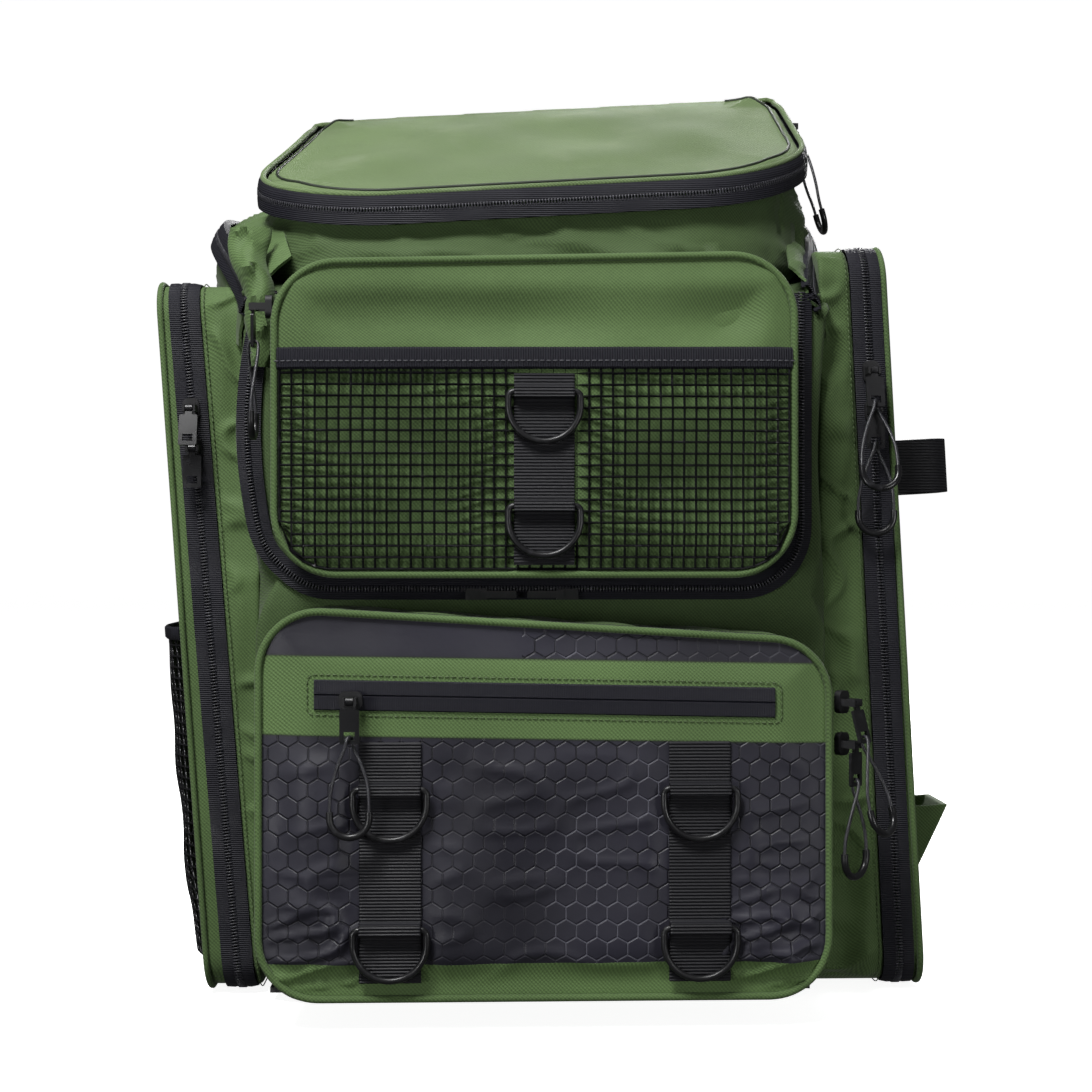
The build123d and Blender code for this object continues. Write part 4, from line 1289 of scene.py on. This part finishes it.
class PACK_OT_cords(bpy.types.Operator):
    """The thin cords that join the pull tabs to their grips"""
    bl_idname = "pack.cords"
    bl_label = "Pull cords"

    def execute(self, context):
        joints = {j["name"]: j for j in frame["joints"]}
        for name, (turn, lean) in PULLS.items():
            pin = Vector(joints[f"pull_{name}_swing"]["pos_m"])
            place = Matrix.Rotation(math.radians(turn), 4, "Z")
            place = place @ Matrix.Rotation(math.radians(-lean), 4, "X")
            route = [pin + place @ (Vector(p) * MM) for p in CORD_ROUTE]
            data = bpy.data.curves.new(f"{name}_cord", "CURVE")
            data.dimensions = "3D"
            data.bevel_depth = 0.0009
            data.bevel_resolution = 3
            data.resolution_u = 10
            spline = data.splines.new("NURBS")
            spline.points.add(len(route) - 1)
            for point, spot in zip(spline.points, route):
                point.co = (*spot, 1.0)
            spline.order_u = 3
            spline.use_endpoint_u = True
            piece = bpy.data.objects.new(f"{name}_pull_cord", data)
            bpy.context.scene.collection.objects.link(piece)
            data.materials.append(look("cord"))
            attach(piece, f"pull_{name}")
            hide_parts(f"cord_{name}")
        return {"FINISHED"}


class PACK_OT_hard_parts(bpy.types.Operator):
    """Materials of the rings, sliders, tabs, grips, adjusters and the base board"""
    bl_idname = "pack.hard_parts"
    bl_label = "Hard parts"

    def execute(self, context):
        finishes = (
            (("upper_ring", "lower_ring", "strap_adjusters"), "ring_plastic"),
            ("slider_", "enamel"), ("pull_", "grip_plastic"), ("base_board", "board"),
        )
        for node, piece in frame["nodes"].items():
            name = next((finish_name for start, finish_name in finishes if node.startswith(start)), None)
            if name is None:
                continue
            if not piece.material_slots:
                piece.data.materials.append(look(name))
            for slot in piece.material_slots:
                slot.material = look(name)
        return {"FINISHED"}


class PACK_OT_stage(bpy.types.Operator):
    """The pale floor, the lights and the camera"""
    bl_idname = "pack.stage"
    bl_label = "Stage"

    def execute(self, context):
        scene = context.scene
        section = [(0.05, 0.0), (7.6, 0.0), (8.6, 0.3), (9.0, 1.2), (9.0, 8.0)]    # in metres
        wall = resample(section, 0.4, False)
        rows = [np.column_stack([wall[:, 0] * math.cos(a), wall[:, 0] * math.sin(a), wall[:, 1]]) / MM
                for a in np.linspace(0, 2 * math.pi, 65)]
        floor = lay_grid(rows)
        floor.name = "studio_floor"
        smooth(floor)
        paper = Look("studio_paper")
        grain = paper.noise(3.0)
        floor.data.materials.append(paper.done(
            Base_Color=paper.mix(grain, (0.88, 0.88, 0.88, 1), (0.92, 0.92, 0.92, 1)), Roughness=0.9,
            Emission_Color=(1, 1, 1, 1), Emission_Strength=0.90))
        floor.visible_diffuse = floor.visible_glossy = False
        world = bpy.data.worlds.new("studio_air")
        world.use_nodes = True
        world.node_tree.nodes["Background"].inputs["Color"].default_value = (1, 1, 1, 1)
        world.node_tree.nodes["Background"].inputs["Strength"].default_value = 0.10
        scene.world = world
        scene.view_settings.view_transform = "Standard"
        for name, place, size, power, aim in (
            ("top_light", (-0.10, -0.30, 1.9), 0.6, 8, (0, 0, 0.35)),
            ("key_light", (-0.50, -1.00, 1.60), 0.5, 40, (0, -0.10, 0.15)),
            ("left_light", (-1.0, -1.4, 0.10), 0.4, 9, (0, -0.20, 0.03)),
            ("right_light", (1.1, -1.4, 0.15), 0.4, 7, (0, -0.20, 0.03)),
            ("back_light", (0.5, 1.7, 1.3), 0.8, 50, (0, 0, 0.25)),
        ):
            data = bpy.data.lights.new(name, "AREA")
            data.size, data.energy = size, power
            lamp = bpy.data.objects.new(name, data)
            lamp.location = place
            lamp.rotation_euler = (Vector(aim) - Vector(place)).to_track_quat("-Z", "Y").to_euler()
            scene.collection.objects.link(lamp)
        data = bpy.data.cameras.new("camera")
        data.lens, data.sensor_width = 59.3, 36.0
        camera = bpy.data.objects.new("camera", data)
        camera.location = (-0.030, -1.083, 0.252)
        camera.rotation_euler = (math.radians(90), 0, math.radians(-1.87))
        scene.collection.objects.link(camera)
        scene.camera = camera
        return {"FINISHED"}


OPERATORS = (
    PACK_OT_body, PACK_OT_main_zipper, PACK_OT_cap, PACK_OT_upper_pocket, PACK_OT_lower_pocket,
    PACK_OT_side_pockets, PACK_OT_side_details, PACK_OT_harness, PACK_OT_cords, PACK_OT_hard_parts,
    PACK_OT_stage,
)


class PACK_PT_panel(bpy.types.Panel):
    """All parts of the backpack"""
    bl_label = "Backpack"
    bl_idname = "PACK_PT_panel"
    bl_space_type = "VIEW_3D"
    bl_region_type = "UI"
    bl_category = "Backpack"

    def draw(self, context):
        for key in PackSettings.__annotations__:
            self.layout.prop(context.scene.pack, key)
        for operator in OPERATORS:
            self.layout.operator(operator.bl_idname)


CLASSES = (PackSettings, *OPERATORS, PACK_PT_panel)


def register():
    for each in CLASSES:
        bpy.utils.register_class(each)
    bpy.types.Scene.pack = bpy.props.PointerProperty(type=PackSettings)


def unregister():
    del bpy.types.Scene.pack
    for each in reversed(CLASSES):
        bpy.utils.unregister_class(each)


def main():
    register()
    for operator in OPERATORS:
        area, name = operator.bl_idname.split(".")
        getattr(getattr(bpy.ops, area), name)()


if __name__ == "__main__":
    main()
